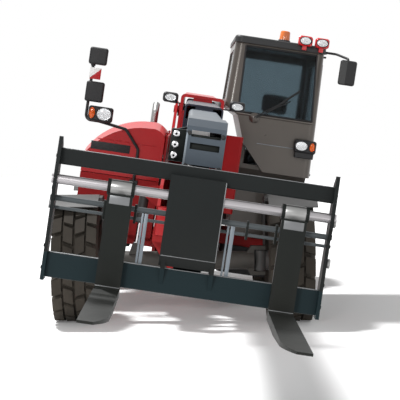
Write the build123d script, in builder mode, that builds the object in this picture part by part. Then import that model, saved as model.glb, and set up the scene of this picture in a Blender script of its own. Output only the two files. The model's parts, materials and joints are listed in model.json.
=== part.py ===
"""Agricultural telehandler with a three-section boom, a fork carriage and a chassis that levels sideways.

X runs to the machine's left (the cab side), Y to its rear and Z up. Every piece is drawn upright, with the
boom level, from an origin on the ground below the front axle. Each is then turned to where it stands: the
boom dips by BOOM_DIP about its rear pivot, and the chassis, with all it carries, leans by LEAN over its axles.
Last, everything is moved so that the origin is below the middle of the whole machine. Sizes are millimetres.
"""

import os
from math import asin, atan2, cos, degrees, hypot, pi, radians, sin, sqrt, tan

from build123d import *

os.makedirs("parts", exist_ok=True)

# ---------------------------------------------------------------- driving dimensions
LEAN = 8.37  # sideways lean of the chassis over its axles, degrees
BOOM_DIP = 1.2  # slope of the boom, down to the front, degrees
STAGE_OUT = 2050  # how far each boom stage stands out of the one before
WHEELBASE = 2780
RUN = 0.3  # gap between curved faces that seat on each other
GAP = 6  # gap between pieces that move past each other

# wheels, size 400/70 R20
TYRE_R = 534
TYRE_W = 405
LUG_H = 24
LUG_PITCHES = 18
RIM_R = 254
RIM_W = 330
RIM_WALL = 9
WHEEL_X = 942  # middle of the wheel from the middle of the machine

# axles
KINGPIN_X = 690
AXLE_TUBE_R = 82
YOKE_X = 628  # face of the yoke, from the middle of the machine
KINGPIN_R = 26
PIN_CLEAR = 0.1
EAR_T = 34
EAR_D = 84
KNUCKLE_H = 180
KNUCKLE_R = 54  # body round the kingpin, between the axle's ears
HUB_R = 112
HUB_IN = -50  # ends of the planetary hub, from the middle of the wheel
HUB_OUT = 128
DISC_X = 18
DISC_T = 14
DISC_WINDOWS = 10
DISC_WINDOW_R = 22
TRUNNION_R = 62
TRUNNION_L = 480
GUARD_ARM_X = 24  # mudguard arm, from the kingpin
GUARD_ARM_T = 16
GUARD_FROM = 14  # ends of the mudguard's arc, degrees above the level, from the rear
GUARD_TO = 122
GUARD_GAP = 42  # tyre to mudguard
GUARD_T = 10
GUARD_W = 428

# chassis frame
PLATE_T = 28
FRAME_X = (-300, 212)  # outer faces of the two side plates
FRAME_FRONT = -420
FRAME_REAR = 3560
BELLY_Z = 470
COUNTER_TOP_Z = 1340
ARCH_Z = 700  # lower edge of the side plates over the axles
BEARING_Y = 190  # trunnion bearing plates, from the axle
BEARING_T = 35

# lift cylinder, from the frame to the underside of the outer boom
LIFT_BASE = (1400, 580)  # Y, Z of its lower pin
LIFT_AHEAD = 960  # upper pin, ahead of the boom pivot
LIFT_BELOW = 330  # upper pin, below the middle of the boom
LIFT_BORE_R = 56
LIFT_ROD_R = 36
LIFT_PIN_R = 30
LIFT_EYE_HALF = 40  # half the width of the eyes
LIFT_BARREL_L = 1170
LIFT_ROD_L = 1200

# levelling cylinder, from the right side plate down to the front axle
LEVEL_X = -425
LEVEL_TOP_Z = 1100
LEVEL_EYE_Z = 670
LEVEL_BORE_R = 34
LEVEL_ROD_R = 20
LEVEL_PIN_R = 16
LEVEL_EYE_HALF = 46
LEVEL_BARREL_L = 290
LEVEL_ROD_L = 300

# cab
CAB_X = (172, 1030)
CAB_LOW_X = 385  # inner side of the cab below its windows
CAB_Y = (300, 1880)
CAB_FLOOR_Z = 760
CAB_NOSE_Z = 1404
NOSE_X = 596  # inner end of the nose's lower edge
CAB_TOP_Z = 2545
CAB_WALL = 42
SILL_Z = 1899  # lower edge of the windscreen
ROOF_T = 62
GLASS_IN = 16  # outer face of the panes, from the cab's outer faces
GLASS_T = 6
TANK_Y = (790, 1850)
TANK_Z = 400

# engine bay and hood
BAY_X = (-1072, -330)
BAY_Y = (765, 2000)
BAY_Z = (620, 1150)
HOOD_REAR = 2960
HOOD_STEP_Z = 1345  # lower edge of the hood over the rear wheel
HOOD_TOP_Z = 1699
HOOD_T = 22
HOOD_Y = (BAY_Y[0], HOOD_REAR)

# hinges, each a barrel between two lugs
HINGE_R = 12
HINGE_PIN_R = 7
HINGE_L = 50  # length of the barrel
HINGE_X = FRAME_X[0] - 15  # pins of the hood's hinges
HINGE_Z = 1612
HOOD_HINGE_YS = (1080, 2560)
DOOR_HINGE_X = CAB_X[1] + 18
DOOR_HINGE_Y = 1580
DOOR_HINGES = ((1000, 1500, 1545), (2150, 1468, 1510))  # lower end, low Y and high Y of the pad on the door

# boom
BOOM_X = -45
PIVOT_Y = 3260
PIVOT_Z = 1862
PIN_R = 40
OUTER_W = 334
OUTER_H = 400
BOOM_WALL = 12
PAD_L = 110
MIDDLE_L = 3500
INNER_L = 3450
CYLINDER_WALL = 10
STAGE_GAP = 21  # from a section's inner face to the next section's outer face, filled at the pads
OUTER_FRONT = -848

# head, hitch and carriage
HEAD_NOSE = -5560  # front face of the boom head
TILT_Y = -5530
TILT_Z = 1484
HITCH_PIN_R = 25
HUB_TUBE_R = 46
TILT_LUG = (TILT_Y + 128, TILT_Z + 153)  # tilt cylinder's pin on the hitch
TILT_BASE_Y = -4930
TILT_BASE_Z = 1850
TILT_PIN_R = 18
TILT_EYE_HALF = 26
TILT_BORE_R = 36
TILT_ROD_R = 22
TILT_BARREL_L = 443
TILT_ROD_L = 436
CARRIAGE_X = -62
CARRIAGE_W = 1392
CARRIAGE_H = 714
CARRIAGE_Y = TILT_Y - 187  # front faces of the beams
CARRIAGE_Z = TILT_Z - 381  # lowest edge of the carriage
SIDE_T = 18
TOP_BEAM_Z = TILT_Z + 196
TOP_BEAM_H = 82
BOTTOM_BEAM_H = 127
BEAM_T = 40
SHAFT_R = 24
COLLAR_R = 36
SHAFT_Z = TILT_Z + 123
BAR_Z = (TILT_Z + 26, TILT_Z - 20)
PLATE_X = (-190, 86)
HITCH_PLATES = ((-178, -156), (66, 88))
FORK_W = 125
FORK_T = 45
FORK_L = 1150
FORK_XS = (-423, 442)

AXLE_Z = TYRE_R
MIDDLE_W = OUTER_W - 2 * (BOOM_WALL + STAGE_GAP)
MIDDLE_H = OUTER_H - 2 * (BOOM_WALL + STAGE_GAP)
INNER_W = MIDDLE_W - 2 * (BOOM_WALL + STAGE_GAP)
INNER_H = MIDDLE_H - 2 * (BOOM_WALL + STAGE_GAP)
MIDDLE_FRONT = OUTER_FRONT - STAGE_OUT
HEAD_Y = MIDDLE_FRONT - STAGE_OUT  # end of the inner section's tube, where its head starts

LEAN_AXIS = Axis((0, 0, AXLE_Z), (0, 1, 0))
BOOM_AXIS = Axis((0, PIVOT_Y, PIVOT_Z), (1, 0, 0))

pieces = {}  # name: (solid, group), where the group says how the piece is turned to its place


def keep(name, solid, group):
    """Store a finished piece under its name with the group that it is placed with."""
    pieces[name] = (solid, group)


# ---------------------------------------------------------------- wheels
# tyre sections: distance from the wheel's middle, radius
TYRE_SECTIONS = (
    (-RIM_W / 2 + RIM_WALL + RUN, RIM_R + 34),
    (-TYRE_W / 2, RIM_R + 120),
    (-TYRE_W / 2 + 12, TYRE_R - 92),
    (-TYRE_W / 2 + 46, TYRE_R - LUG_H - 6),
    (TYRE_W / 2 - 46, TYRE_R - LUG_H - 6),
    (TYRE_W / 2 - 12, TYRE_R - 92),
    (TYRE_W / 2, RIM_R + 120),
    (RIM_W / 2 - RIM_WALL - RUN, RIM_R + 34),
)
TYRE_SIDES = 2 * LUG_PITCHES
BEAD_R = (RIM_R + RUN) / cos(radians(180 / TYRE_SIDES))

# tread blocks of one pitch: middle across, half width, slant of its sides, place along the pitch
LUGS = (
    (-150, 42, 14, 0.0),
    (-51, 40, -16, 0.5),
    (51, 40, 16, 0.0),
    (150, 42, -14, 0.5),
)
PITCH = 2 * pi * TYRE_R / LUG_PITCHES
LUG_HALF = PITCH * 0.39

with BuildPart() as carcass:
    for x, radius in TYRE_SECTIONS:
        with BuildSketch(Plane.YZ.offset(x)):
            RegularPolygon(radius, TYRE_SIDES)
    loft(ruled=True)
    with BuildSketch(Plane.YZ.offset(-TYRE_W / 2)):
        RegularPolygon(BEAD_R, TYRE_SIDES)
    extrude(amount=TYRE_W, mode=Mode.SUBTRACT)

with BuildPart() as tread_pitch:
    for across, half, slant, along in LUGS:
        with BuildSketch(Plane.XY.rotated((360 * along / LUG_PITCHES, 0, 0)).offset(TYRE_R)):
            with BuildLine():
                Polyline(
                    (across - half, -LUG_HALF - slant),
                    (across + half, -LUG_HALF + slant),
                    (across + half, LUG_HALF + slant),
                    (across - half, LUG_HALF - slant),
                    close=True,
                )
            make_face()
        extrude(amount=-LUG_H - 14)

with BuildPart() as tyre:
    add(carcass.part)
    add([tread_pitch.part.rotate(Axis.X, 360 * k / LUG_PITCHES) for k in range(LUG_PITCHES)])

with BuildPart() as rim:
    with BuildSketch(Plane.XY):
        with BuildLine():
            Polyline(
                (-RIM_W / 2, RIM_R + 30),
                (-RIM_W / 2, RIM_R - RIM_WALL),
                (-RIM_W / 2 + 60, RIM_R - RIM_WALL),
                (-RIM_W / 2 + 95, RIM_R - 40),
                (RIM_W / 2 - 95, RIM_R - 40),
                (RIM_W / 2 - 60, RIM_R - RIM_WALL),
                (RIM_W / 2, RIM_R - RIM_WALL),
                (RIM_W / 2, RIM_R + 30),
                (RIM_W / 2 - RIM_WALL, RIM_R + 30),
                (RIM_W / 2 - RIM_WALL, RIM_R),
                (RIM_W / 2 - 55, RIM_R),
                (RIM_W / 2 - 90, RIM_R - 31),
                (-RIM_W / 2 + 90, RIM_R - 31),
                (-RIM_W / 2 + 55, RIM_R),
                (-RIM_W / 2 + RIM_WALL, RIM_R),
                (-RIM_W / 2 + RIM_WALL, RIM_R + 30),
                close=True,
            )
        make_face()
    revolve(axis=Axis.X)
    with BuildSketch(Plane.YZ.offset(DISC_X)):
        Circle(RIM_R - 36)
    extrude(amount=DISC_T)
    with BuildSketch(Plane.XY):
        with BuildLine():
            Polyline(
                (HUB_IN, 0),
                (HUB_IN, HUB_R + 30),
                (DISC_X + 1, HUB_R + 30),
                (DISC_X + DISC_T, HUB_R),
                (HUB_OUT - 30, HUB_R),
                (HUB_OUT, HUB_R - 34),
                (HUB_OUT, 0),
                close=True,
            )
        make_face()
    revolve(axis=Axis.X)
    with BuildSketch(Plane.YZ.offset(DISC_X)):
        with PolarLocations((HUB_R + RIM_R) / 2, DISC_WINDOWS):
            Circle(DISC_WINDOW_R)
    extrude(amount=DISC_T, mode=Mode.SUBTRACT)

# the mudguard bends round the tyre, from ahead of its top to behind it
GUARD_R = TYRE_R + GUARD_GAP
GUARD_IN = WHEEL_X - TYRE_W / 2 + 5 - KINGPIN_X  # inner edge, from the kingpin

with BuildPart() as knuckle:
    Cylinder(KNUCKLE_R, KNUCKLE_H)
    Cylinder(KINGPIN_R, KNUCKLE_H + 2 * (GAP + EAR_T))
    with BuildSketch(Plane.XY):
        with BuildLine():
            Polyline(
                (40, 0),
                (40, KNUCKLE_H / 2 - 4),
                (72, KNUCKLE_H / 2),
                (108, HUB_R + 16),
                (WHEEL_X - KINGPIN_X + HUB_IN - RUN, HUB_R + 16),
                (WHEEL_X - KINGPIN_X + HUB_IN - RUN, 0),
                close=True,
            )
        make_face()
    revolve(axis=Axis.X)
    with BuildSketch(Plane.YZ.offset(GUARD_ARM_X)):
        with BuildLine():
            Polyline(
                (30, -60),
                (130, -60),
                (190, GUARD_R * 0.6),
                (150, sqrt((GUARD_R + 4) ** 2 - 150**2)),
                (90, sqrt((GUARD_R + 4) ** 2 - 90**2)),
                (70, 60),
                (30, 40),
                close=True,
            )
        make_face()
    extrude(amount=GUARD_ARM_T)
    with BuildSketch(Plane.YZ.offset(GUARD_IN)):
        with BuildLine():
            outer = CenterArc((0, 0), GUARD_R + GUARD_T, GUARD_FROM, GUARD_TO - GUARD_FROM)
            inner = CenterArc((0, 0), GUARD_R, GUARD_FROM, GUARD_TO - GUARD_FROM)
            Line(outer @ 0, inner @ 0)
            Line(outer @ 1, inner @ 1)
        make_face()
    extrude(amount=GUARD_W)
    with BuildSketch(Plane.YZ.offset(GUARD_ARM_X)):
        with BuildLine():
            lip_out = CenterArc((0, 0), GUARD_R + 2, GUARD_FROM + 20, GUARD_TO - GUARD_FROM - 40)
            lip_in = CenterArc((0, 0), GUARD_R - 30, GUARD_FROM + 20, GUARD_TO - GUARD_FROM - 40)
            Line(lip_out @ 0, lip_in @ 0)
            Line(lip_out @ 1, lip_in @ 1)
        make_face()
    extrude(amount=GUARD_IN - GUARD_ARM_X + GUARD_T)

with BuildPart() as axle:
    with BuildSketch(Plane.XY):
        with BuildLine():
            Polyline(
                (-YOKE_X, 0),
                (-YOKE_X, AXLE_TUBE_R),
                (-220, AXLE_TUBE_R),
                (-150, 104),
                (-66, 148),
                (66, 148),
                (150, 104),
                (220, AXLE_TUBE_R),
                (YOKE_X, AXLE_TUBE_R),
                (YOKE_X, 0),
                close=True,
            )
        make_face()
    revolve(axis=Axis.X)
    with BuildSketch(Plane.XZ.offset(-TRUNNION_L / 2)):
        Circle(TRUNNION_R)
    extrude(amount=TRUNNION_L)
    with BuildSketch(Plane.XZ.offset(-EAR_D / 2)):
        with BuildLine():
            Polyline(
                (YOKE_X - 70, AXLE_TUBE_R - 20),
                (YOKE_X - 30, KNUCKLE_H / 2 + GAP + EAR_T),
                (KINGPIN_X + EAR_D / 2 - 4, KNUCKLE_H / 2 + GAP + EAR_T),
                (KINGPIN_X + EAR_D / 2 - 4, KNUCKLE_H / 2 + GAP),
                (YOKE_X, KNUCKLE_H / 2 + GAP),
                (YOKE_X, -KNUCKLE_H / 2 - GAP),
                (KINGPIN_X + EAR_D / 2 - 4, -KNUCKLE_H / 2 - GAP),
                (KINGPIN_X + EAR_D / 2 - 4, -KNUCKLE_H / 2 - GAP - EAR_T),
                (YOKE_X - 30, -KNUCKLE_H / 2 - GAP - EAR_T),
                (YOKE_X - 70, -AXLE_TUBE_R + 20),
                close=True,
            )
        make_face()
    extrude(amount=EAR_D)
    with Locations((KINGPIN_X, 0, 0)):
        Cylinder(KINGPIN_R + PIN_CLEAR, 2 * KNUCKLE_H, mode=Mode.SUBTRACT)
    split(bisect_by=Plane.YZ)
    mirror(about=Plane.YZ)

# corners of the machine: name, side, place along the machine
CORNERS = (
    ("front_left", 1, 0),
    ("front_right", -1, 0),
    ("rear_left", 1, WHEELBASE),
    ("rear_right", -1, WHEELBASE),
)
for name, side, along in CORNERS:
    hub = Location((side * WHEEL_X, along, AXLE_Z))
    pin = Location((side * KINGPIN_X, along, AXLE_Z))
    for label, solid, place in (("tyre", tyre, hub), ("wheel", rim, hub), ("knuckle", knuckle, pin)):
        turned = solid.part if side > 0 else solid.part.mirror(Plane.YZ)
        keep(f"{label}_{name}", turned.moved(place), "ground")
keep("rear_axle", axle.part.moved(Location((0, WHEELBASE, AXLE_Z))), "ground")


# ---------------------------------------------------------------- chassis frame
PLATE_OUTLINE = (
    (FRAME_FRONT, ARCH_Z),
    (FRAME_FRONT, 1010),
    (-180, 1180),
    (500, 1330),
    (2450, 1400),
    (PIVOT_Y - 230, PIVOT_Z + 90),
    (PIVOT_Y + 120, PIVOT_Z + 90),
    (FRAME_REAR, PIVOT_Z - 190),
    (FRAME_REAR, 640),
    (WHEELBASE + 420, 560),
    (WHEELBASE + 250, ARCH_Z),
    (WHEELBASE - 250, ARCH_Z),
    (WHEELBASE - 420, BELLY_Z),
    (420, BELLY_Z),
    (250, ARCH_Z),
)
FRAME_IN = (FRAME_X[0] + PLATE_T, FRAME_X[1] - PLATE_T)


def across(x0, x1):
    """Plane that a side outline is drawn on, and how far it is extruded to reach from x0 to x1."""
    return Plane.YZ.offset(x0), x1 - x0


def bar(plane, spot, radius, length):
    """Round bar of the given length along a plane's normal, its middle at spot on the plane."""
    with BuildPart() as body:
        with BuildSketch(plane):
            with Locations(spot):
                Circle(radius)
        extrude(amount=length)
    return body.part


def box(x0, x1, y0, y1, z0, z1):
    """Block between the given limits."""
    with BuildPart() as body:
        with Locations(((x0 + x1) / 2, (y0 + y1) / 2, (z0 + z1) / 2)):
            Box(x1 - x0, y1 - y0, z1 - z0)
    return body.part


def facing_rear(y):
    """Upright plane across the machine at y, its normal to the rear, with x to the right of the machine."""
    return Plane(origin=(0, y, 0), x_dir=(-1, 0, 0), z_dir=(0, 1, 0))


with BuildPart() as frame:
    for x0, x1 in ((FRAME_X[0], FRAME_IN[0]), (FRAME_IN[1], FRAME_X[1])):
        plane, width = across(x0, x1)
        with BuildSketch(plane):
            with BuildLine():
                Polyline(*PLATE_OUTLINE, close=True)
            make_face()
        extrude(amount=width)
    # belly, front plate and rear plate: low Y, high Y, low Z, high Z
    for y0, y1, z0, z1 in (
        (420, WHEELBASE - 420, BELLY_Z, BELLY_Z + 20),
        (FRAME_FRONT, FRAME_FRONT + 24, ARCH_Z, 1010),
        (FRAME_REAR - 30, FRAME_REAR, 640, 1560),
        (640, 670, BELLY_Z, 900),
        (2120, 2150, BELLY_Z, 900),
    ):
        plane, width = across(FRAME_IN[0] - 2, FRAME_IN[1] + 2)
        with BuildSketch(plane):
            with Locations(((y0 + y1) / 2, (z0 + z1) / 2)):
                Rectangle(y1 - y0, z1 - z0)
        extrude(amount=width)
    # trunnion bearings before and behind each axle
    for axle_y in (0, WHEELBASE):
        for y in (axle_y - BEARING_Y - BEARING_T, axle_y + BEARING_Y):
            with BuildSketch(Plane.XZ.offset(-y)):
                with BuildLine():
                    Polyline(
                        (FRAME_X[0], 830),
                        (FRAME_X[0], ARCH_Z - 20),
                        (-110, AXLE_Z - 96),
                        (110, AXLE_Z - 96),
                        (FRAME_X[1], ARCH_Z - 20),
                        (FRAME_X[1], 830),
                        close=True,
                    )
                make_face()
                with Locations((0, AXLE_Z)):
                    Circle(TRUNNION_R + PIN_CLEAR, mode=Mode.SUBTRACT)
            extrude(amount=-BEARING_T)
    # boom pivot pin and lift cylinder pin
    for y, z, radius in ((PIVOT_Y, PIVOT_Z, PIN_R), (*LIFT_BASE, LIFT_PIN_R)):
        with BuildSketch(Plane.YZ.offset(FRAME_X[0] - 12)):
            with Locations((y, z)):
                Circle(radius)
        extrude(amount=FRAME_X[1] - FRAME_X[0] + 24)
    # post between boom and cab
    with BuildSketch(Plane.XY.offset(1000)):
        with Locations((290, 130)):
            RectangleRounded(160, 250, 24)
    extrude(amount=690)
    # outriggers that carry the engine bay and the cab: low X, high X, Y, Z
    for x0, x1, y, z in (
        (-1000, FRAME_X[0], 960, BAY_Z[0] - 49),
        (-1000, FRAME_X[0], 1820, BAY_Z[0] - 49),
        (FRAME_X[1], 960, 860, CAB_FLOOR_Z - 49),
        (FRAME_X[1], 960, 1780, CAB_FLOOR_Z - 49),
    ):
        plane, width = across(x0, x1)
        with BuildSketch(plane):
            with Locations((y, z)):
                Rectangle(90, 98)
        extrude(amount=width)
    # wall along the hood's inner side, with the lugs and pins of the hood's hinges on its edge
    add(box(FRAME_X[0] - 20, FRAME_X[0], HOOD_Y[0] + 40, HOOD_Y[1] - 40, 1250, HINGE_Z - HINGE_R - 8))
    for y in HOOD_HINGE_YS:
        for lug_y in (y - HINGE_L / 2, y + HINGE_L + RUN):
            spot = (-HINGE_X, HINGE_Z)
            add(bar(facing_rear(lug_y), spot, HINGE_R, HINGE_L / 2 - RUN))
            add(
                box(
                    HINGE_X - 6,
                    HINGE_X + 6,
                    lug_y,
                    lug_y + HINGE_L / 2 - RUN,
                    HINGE_Z - HINGE_R - 10,
                    HINGE_Z,
                )
            )
        add(bar(facing_rear(y - HINGE_L / 2), spot, HINGE_PIN_R, 2 * HINGE_L))
    # bracket of the levelling cylinder, a plate each side of its eye
    for y in (-LEVEL_EYE_HALF - 4 - 18, LEVEL_EYE_HALF + 4):
        with BuildSketch(Plane.XZ.offset(-y)):
            with BuildLine():
                Polyline(
                    (FRAME_X[0], LEVEL_TOP_Z - 130),
                    (FRAME_X[0], LEVEL_TOP_Z + 60),
                    (LEVEL_X - 30, LEVEL_TOP_Z + 30),
                    (LEVEL_X - 30, LEVEL_TOP_Z - 26),
                    close=True,
                )
            make_face()
        extrude(amount=-18)
    with BuildSketch(Plane.XZ.offset(-LEVEL_EYE_HALF - 18)):
        with Locations((LEVEL_X, LEVEL_TOP_Z)):
            Circle(LEVEL_PIN_R)
    extrude(amount=2 * LEVEL_EYE_HALF + 36)


def frame_part(x0, x1):
    """What lies of the welded frame between two places across the machine."""
    with BuildPart() as body:
        add(frame.part)
        add(box(x0, x1, FRAME_FRONT - 100, FRAME_REAR + 100, 0, 2 * PIVOT_Z), mode=Mode.INTERSECT)
    return body.part


# the frame is kept as its two sides and what joins them, so that the boom's well stays open between them
keep("chassis_frame", frame_part(FRAME_IN[0], FRAME_IN[1]), "chassis")
keep("frame_side_right", frame_part(BAY_X[0], FRAME_IN[0]), "chassis")
keep("frame_side_left", frame_part(FRAME_IN[1], CAB_X[1]), "chassis")

with BuildPart() as counterweight:
    with BuildSketch(Plane.XY.offset(700)):
        with BuildLine():
            Polyline(
                (-560, FRAME_REAR),
                (470, FRAME_REAR),
                (470, FRAME_REAR + 110),
                (330, FRAME_REAR + 250),
                (-420, FRAME_REAR + 250),
                (-560, FRAME_REAR + 110),
                close=True,
            )
        make_face()
    extrude(amount=COUNTER_TOP_Z - 700)
    fillet(counterweight.edges().filter_by(Axis.Z), 30)
    chamfer(counterweight.faces().sort_by(Axis.Z)[-1].edges(), 24)
keep("counterweight", counterweight.part, "chassis")

with BuildPart() as tow_hitch:
    with BuildSketch(Plane.XY.offset(470)):
        with Locations((BOOM_X, FRAME_REAR + 70)):
            Rectangle(200, 140)
    extrude(amount=60)
    with BuildSketch(Plane.XY.offset(610)):
        with Locations((BOOM_X, FRAME_REAR + 70)):
            Rectangle(200, 140)
    extrude(amount=40)
    with BuildSketch(Plane.XY.offset(470)):
        with Locations((BOOM_X, FRAME_REAR + 15)):
            Rectangle(200, 30)
    extrude(amount=230)
    with BuildSketch(Plane.XY.offset(470)):
        with Locations((BOOM_X, FRAME_REAR + 90)):
            Circle(19)
    extrude(amount=180, mode=Mode.SUBTRACT)
keep("tow_hitch", tow_hitch.part, "chassis")

with BuildPart() as engine:
    with BuildSketch(Plane.XY.offset(720)):
        with Locations((-690, 1380)):
            RectangleRounded(500, 980, 40)
    extrude(amount=640)
    with BuildSketch(Plane.XY.offset(BAY_Z[0])):
        for y in (960, 1820):
            with Locations((-690, y)):
                Rectangle(120, 70)
    extrude(amount=110)
keep("engine_block", engine.part, "chassis")

# ---------------------------------------------------------------- engine bay and hood
with BuildPart() as bay:
    with BuildSketch(Plane.XY.offset(BAY_Z[0])):
        with Locations(((BAY_X[0] + BAY_X[1]) / 2, (BAY_Y[0] + BAY_Y[1]) / 2)):
            Rectangle(BAY_X[1] - BAY_X[0], BAY_Y[1] - BAY_Y[0])
    extrude(amount=BAY_Z[1] - BAY_Z[0])
    with BuildSketch(Plane.XY.offset(BAY_Z[0])):
        with Locations(((BAY_X[0] + BAY_X[1]) / 2, (BAY_Y[0] + BAY_Y[1]) / 2)):
            Rectangle(BAY_X[1] - BAY_X[0] - 2 * HOOD_T, BAY_Y[1] - BAY_Y[0] - 2 * HOOD_T)
    extrude(amount=BAY_Z[1] - BAY_Z[0], mode=Mode.SUBTRACT)
    # rests that the closed hood lies on
    with BuildSketch(Plane.XY.offset(BAY_Z[1])):
        with Locations(
            (BAY_X[0] + 11, BAY_Y[0] + 200),
            (BAY_X[0] + 11, BAY_Y[1] - 200),
        ):
            Rectangle(HOOD_T - 4, 60)
    extrude(amount=GAP - RUN)
keep("engine_bay", bay.part, "chassis")


def hood_section(y, inset, top):
    """Closed outline across the hood at y, its walls moved in by inset and its top lowered to top."""
    with BuildSketch(Plane.XZ.offset(-y)) as section:
        with BuildLine():
            inner = BAY_X[1] - inset
            outer = BAY_X[0] + inset
            low = BAY_Z[1] - 200
            shoulder = top - 330
            Line((inner, low), (inner, top - 70))
            ThreePointArc((inner, top - 70), (inner - 50, top - 16), (inner - 140, top))
            ThreePointArc((inner - 140, top), (outer + 210, top - 116), (outer, shoulder))
            Line((outer, shoulder), (outer, low))
            Line((outer, low), (inner, low))
        make_face()
    return section.sketch


with BuildPart() as hood:
    loft([hood_section(BAY_Y[0], 0, HOOD_TOP_Z - 60), hood_section(1150, 0, HOOD_TOP_Z)])
    loft([hood_section(1150, 0, HOOD_TOP_Z), hood_section(HOOD_REAR, 0, HOOD_TOP_Z - 40)])
    loft(
        [
            hood_section(BAY_Y[0] + HOOD_T, HOOD_T, HOOD_TOP_Z - 60 - HOOD_T),
            hood_section(1150, HOOD_T, HOOD_TOP_Z - HOOD_T),
        ],
        mode=Mode.SUBTRACT,
    )
    loft(
        [
            hood_section(1150, HOOD_T, HOOD_TOP_Z - HOOD_T),
            hood_section(HOOD_REAR - HOOD_T, HOOD_T, HOOD_TOP_Z - 40 - HOOD_T),
        ],
        mode=Mode.SUBTRACT,
    )
    plane, width = across(BAY_X[0] - 10, BAY_X[1] + 10)
    with BuildSketch(plane):
        with BuildLine():
            Polyline(
                (BAY_Y[0] - 10, 800),
                (BAY_Y[0] - 10, BAY_Z[1] + GAP),
                (BAY_Y[1] - 20, BAY_Z[1] + GAP),
                (BAY_Y[1] + 60, HOOD_STEP_Z),
                (HOOD_REAR + 10, HOOD_STEP_Z),
                (HOOD_REAR + 10, 800),
                close=True,
            )
        make_face()
    extrude(amount=width, mode=Mode.SUBTRACT)
    # its inner side is open below the hinges
    add(
        box(BAY_X[1] - HOOD_T - 2, BAY_X[1] + 2, HOOD_Y[0] + HOOD_T, HOOD_Y[1] - HOOD_T, 1000, HINGE_Z - 22),
        mode=Mode.SUBTRACT,
    )
    for y in HOOD_HINGE_YS:
        spot = (-HINGE_X, HINGE_Z)
        add(box(BAY_X[1] - 2, HINGE_X, y + RUN, y + HINGE_L, HINGE_Z - 5, HINGE_Z + 5))
        add(bar(facing_rear(y + RUN), spot, HINGE_R, HINGE_L - RUN))
        add(bar(facing_rear(y), spot, HINGE_PIN_R + PIN_CLEAR, HINGE_L + 1), mode=Mode.SUBTRACT)
keep("engine_hood", hood.part, "chassis")

# ---------------------------------------------------------------- cab
def cab_volume(inset):
    """Solid within the cab's outer faces, its sides, front, back and floor moved in by inset."""
    with BuildPart() as volume:
        plane, width = across(CAB_X[0] - 10, CAB_X[1] + 10)
        with BuildSketch(plane):
            with BuildLine():
                Polyline(
                    (CAB_Y[0] + inset, CAB_NOSE_Z + inset),
                    (CAB_Y[0] - 10 + inset, SILL_Z - 10),
                    (CAB_Y[0] + 74 + inset, CAB_TOP_Z),
                    (CAB_Y[1] - 34 - inset, CAB_TOP_Z),
                    (CAB_Y[1] - inset, 1500),
                    (CAB_Y[1] - inset, CAB_FLOOR_Z + inset),
                    (BAY_Y[0] + inset, CAB_FLOOR_Z + inset),
                    (BAY_Y[0] + inset, 1340 + inset),
                    (BAY_Y[0] - 64 + inset, CAB_NOSE_Z + inset),
                    close=True,
                )
            make_face()
        extrude(amount=width)
        with BuildSketch(Plane.XZ.offset(-CAB_Y[1] - 10)):
            with BuildLine():
                Polyline(
                    (CAB_LOW_X + inset, CAB_FLOOR_Z),
                    (CAB_LOW_X + inset, 1640),
                    (CAB_LOW_X - 85 + inset, 1880),
                    (CAB_X[0] + inset, 1960),
                    (CAB_X[0] + 15 + inset, CAB_TOP_Z),
                    (CAB_X[1] - 27 - inset, CAB_TOP_Z),
                    (CAB_X[1] - inset, CAB_NOSE_Z),
                    (CAB_X[1] - inset, CAB_FLOOR_Z),
                    close=True,
                )
            make_face()
        extrude(amount=CAB_Y[1] - CAB_Y[0] + 40, mode=Mode.INTERSECT)
        # the nose ahead of the wheel arch is cut off slantwise towards the boom
        with BuildSketch(Plane.XZ.offset(-BAY_Y[0] + 64)):
            with BuildLine():
                Polyline(
                    (CAB_LOW_X - 20 + inset, 1640),
                    (CAB_LOW_X + inset, 1640),
                    (NOSE_X + inset, CAB_NOSE_Z + inset),
                    (NOSE_X + inset, CAB_NOSE_Z - 20),
                    (CAB_LOW_X - 20 + inset, CAB_NOSE_Z - 20),
                    close=True,
                )
            make_face()
        extrude(amount=BAY_Y[0] - CAB_Y[0] + 60, mode=Mode.SUBTRACT)
        fillet(
            volume.edges().filter_by(lambda e: abs((e % 0.5).Z) > 0.95 and (e @ 0.5).Y < CAB_Y[0] + 60),
            64 - inset,
        )
    return volume.part


# openings, each a closed outline on the wall it goes through
WINDSCREEN = ((293, SILL_Z + 16), (977, SILL_Z + 16), (940, CAB_TOP_Z - 22), (282, CAB_TOP_Z - 22))
REAR_WINDOW = ((270, 1560), (940, 1560), (925, 2470), (275, 2470))
SIDE_WINDOW = ((420, 2020), (1770, 2020), (1760, 2480), (470, 2480))
DOOR = ((392, 1480), (452, 2506), (1500, 2506), (1562, 1500), (1562, 812), (836, 812), (836, 1392), (752, 1480))
DOOR_GLASS = ((452, 1600), (500, 2448), (1440, 2448), (1496, 1560), (1496, 1460), (900, 1460), (800, 1560))
DOOR_LOWER_GLASS = ((900, 900), (1490, 900), (1490, 1390), (900, 1390))


def prism(outline, plane, length, grow=0):
    """Outline drawn on a plane, grown by grow, and extruded by length."""
    with BuildPart() as body:
        with BuildSketch(plane):
            with BuildLine():
                Polyline(*outline, close=True)
            make_face()
            if grow:
                offset(amount=grow, kind=Kind.INTERSECTION)
        extrude(amount=length)
    return body.part


FRONT = (Plane.XZ.offset(-CAB_Y[0] - 200), 300)
REAR = (Plane.XZ.offset(-CAB_Y[1] - 50), 150)
RIGHT = (Plane.YZ.offset(CAB_X[0] - 50), 120)
LEFT = (Plane.YZ.offset(CAB_X[1] - 90), 150)

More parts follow.
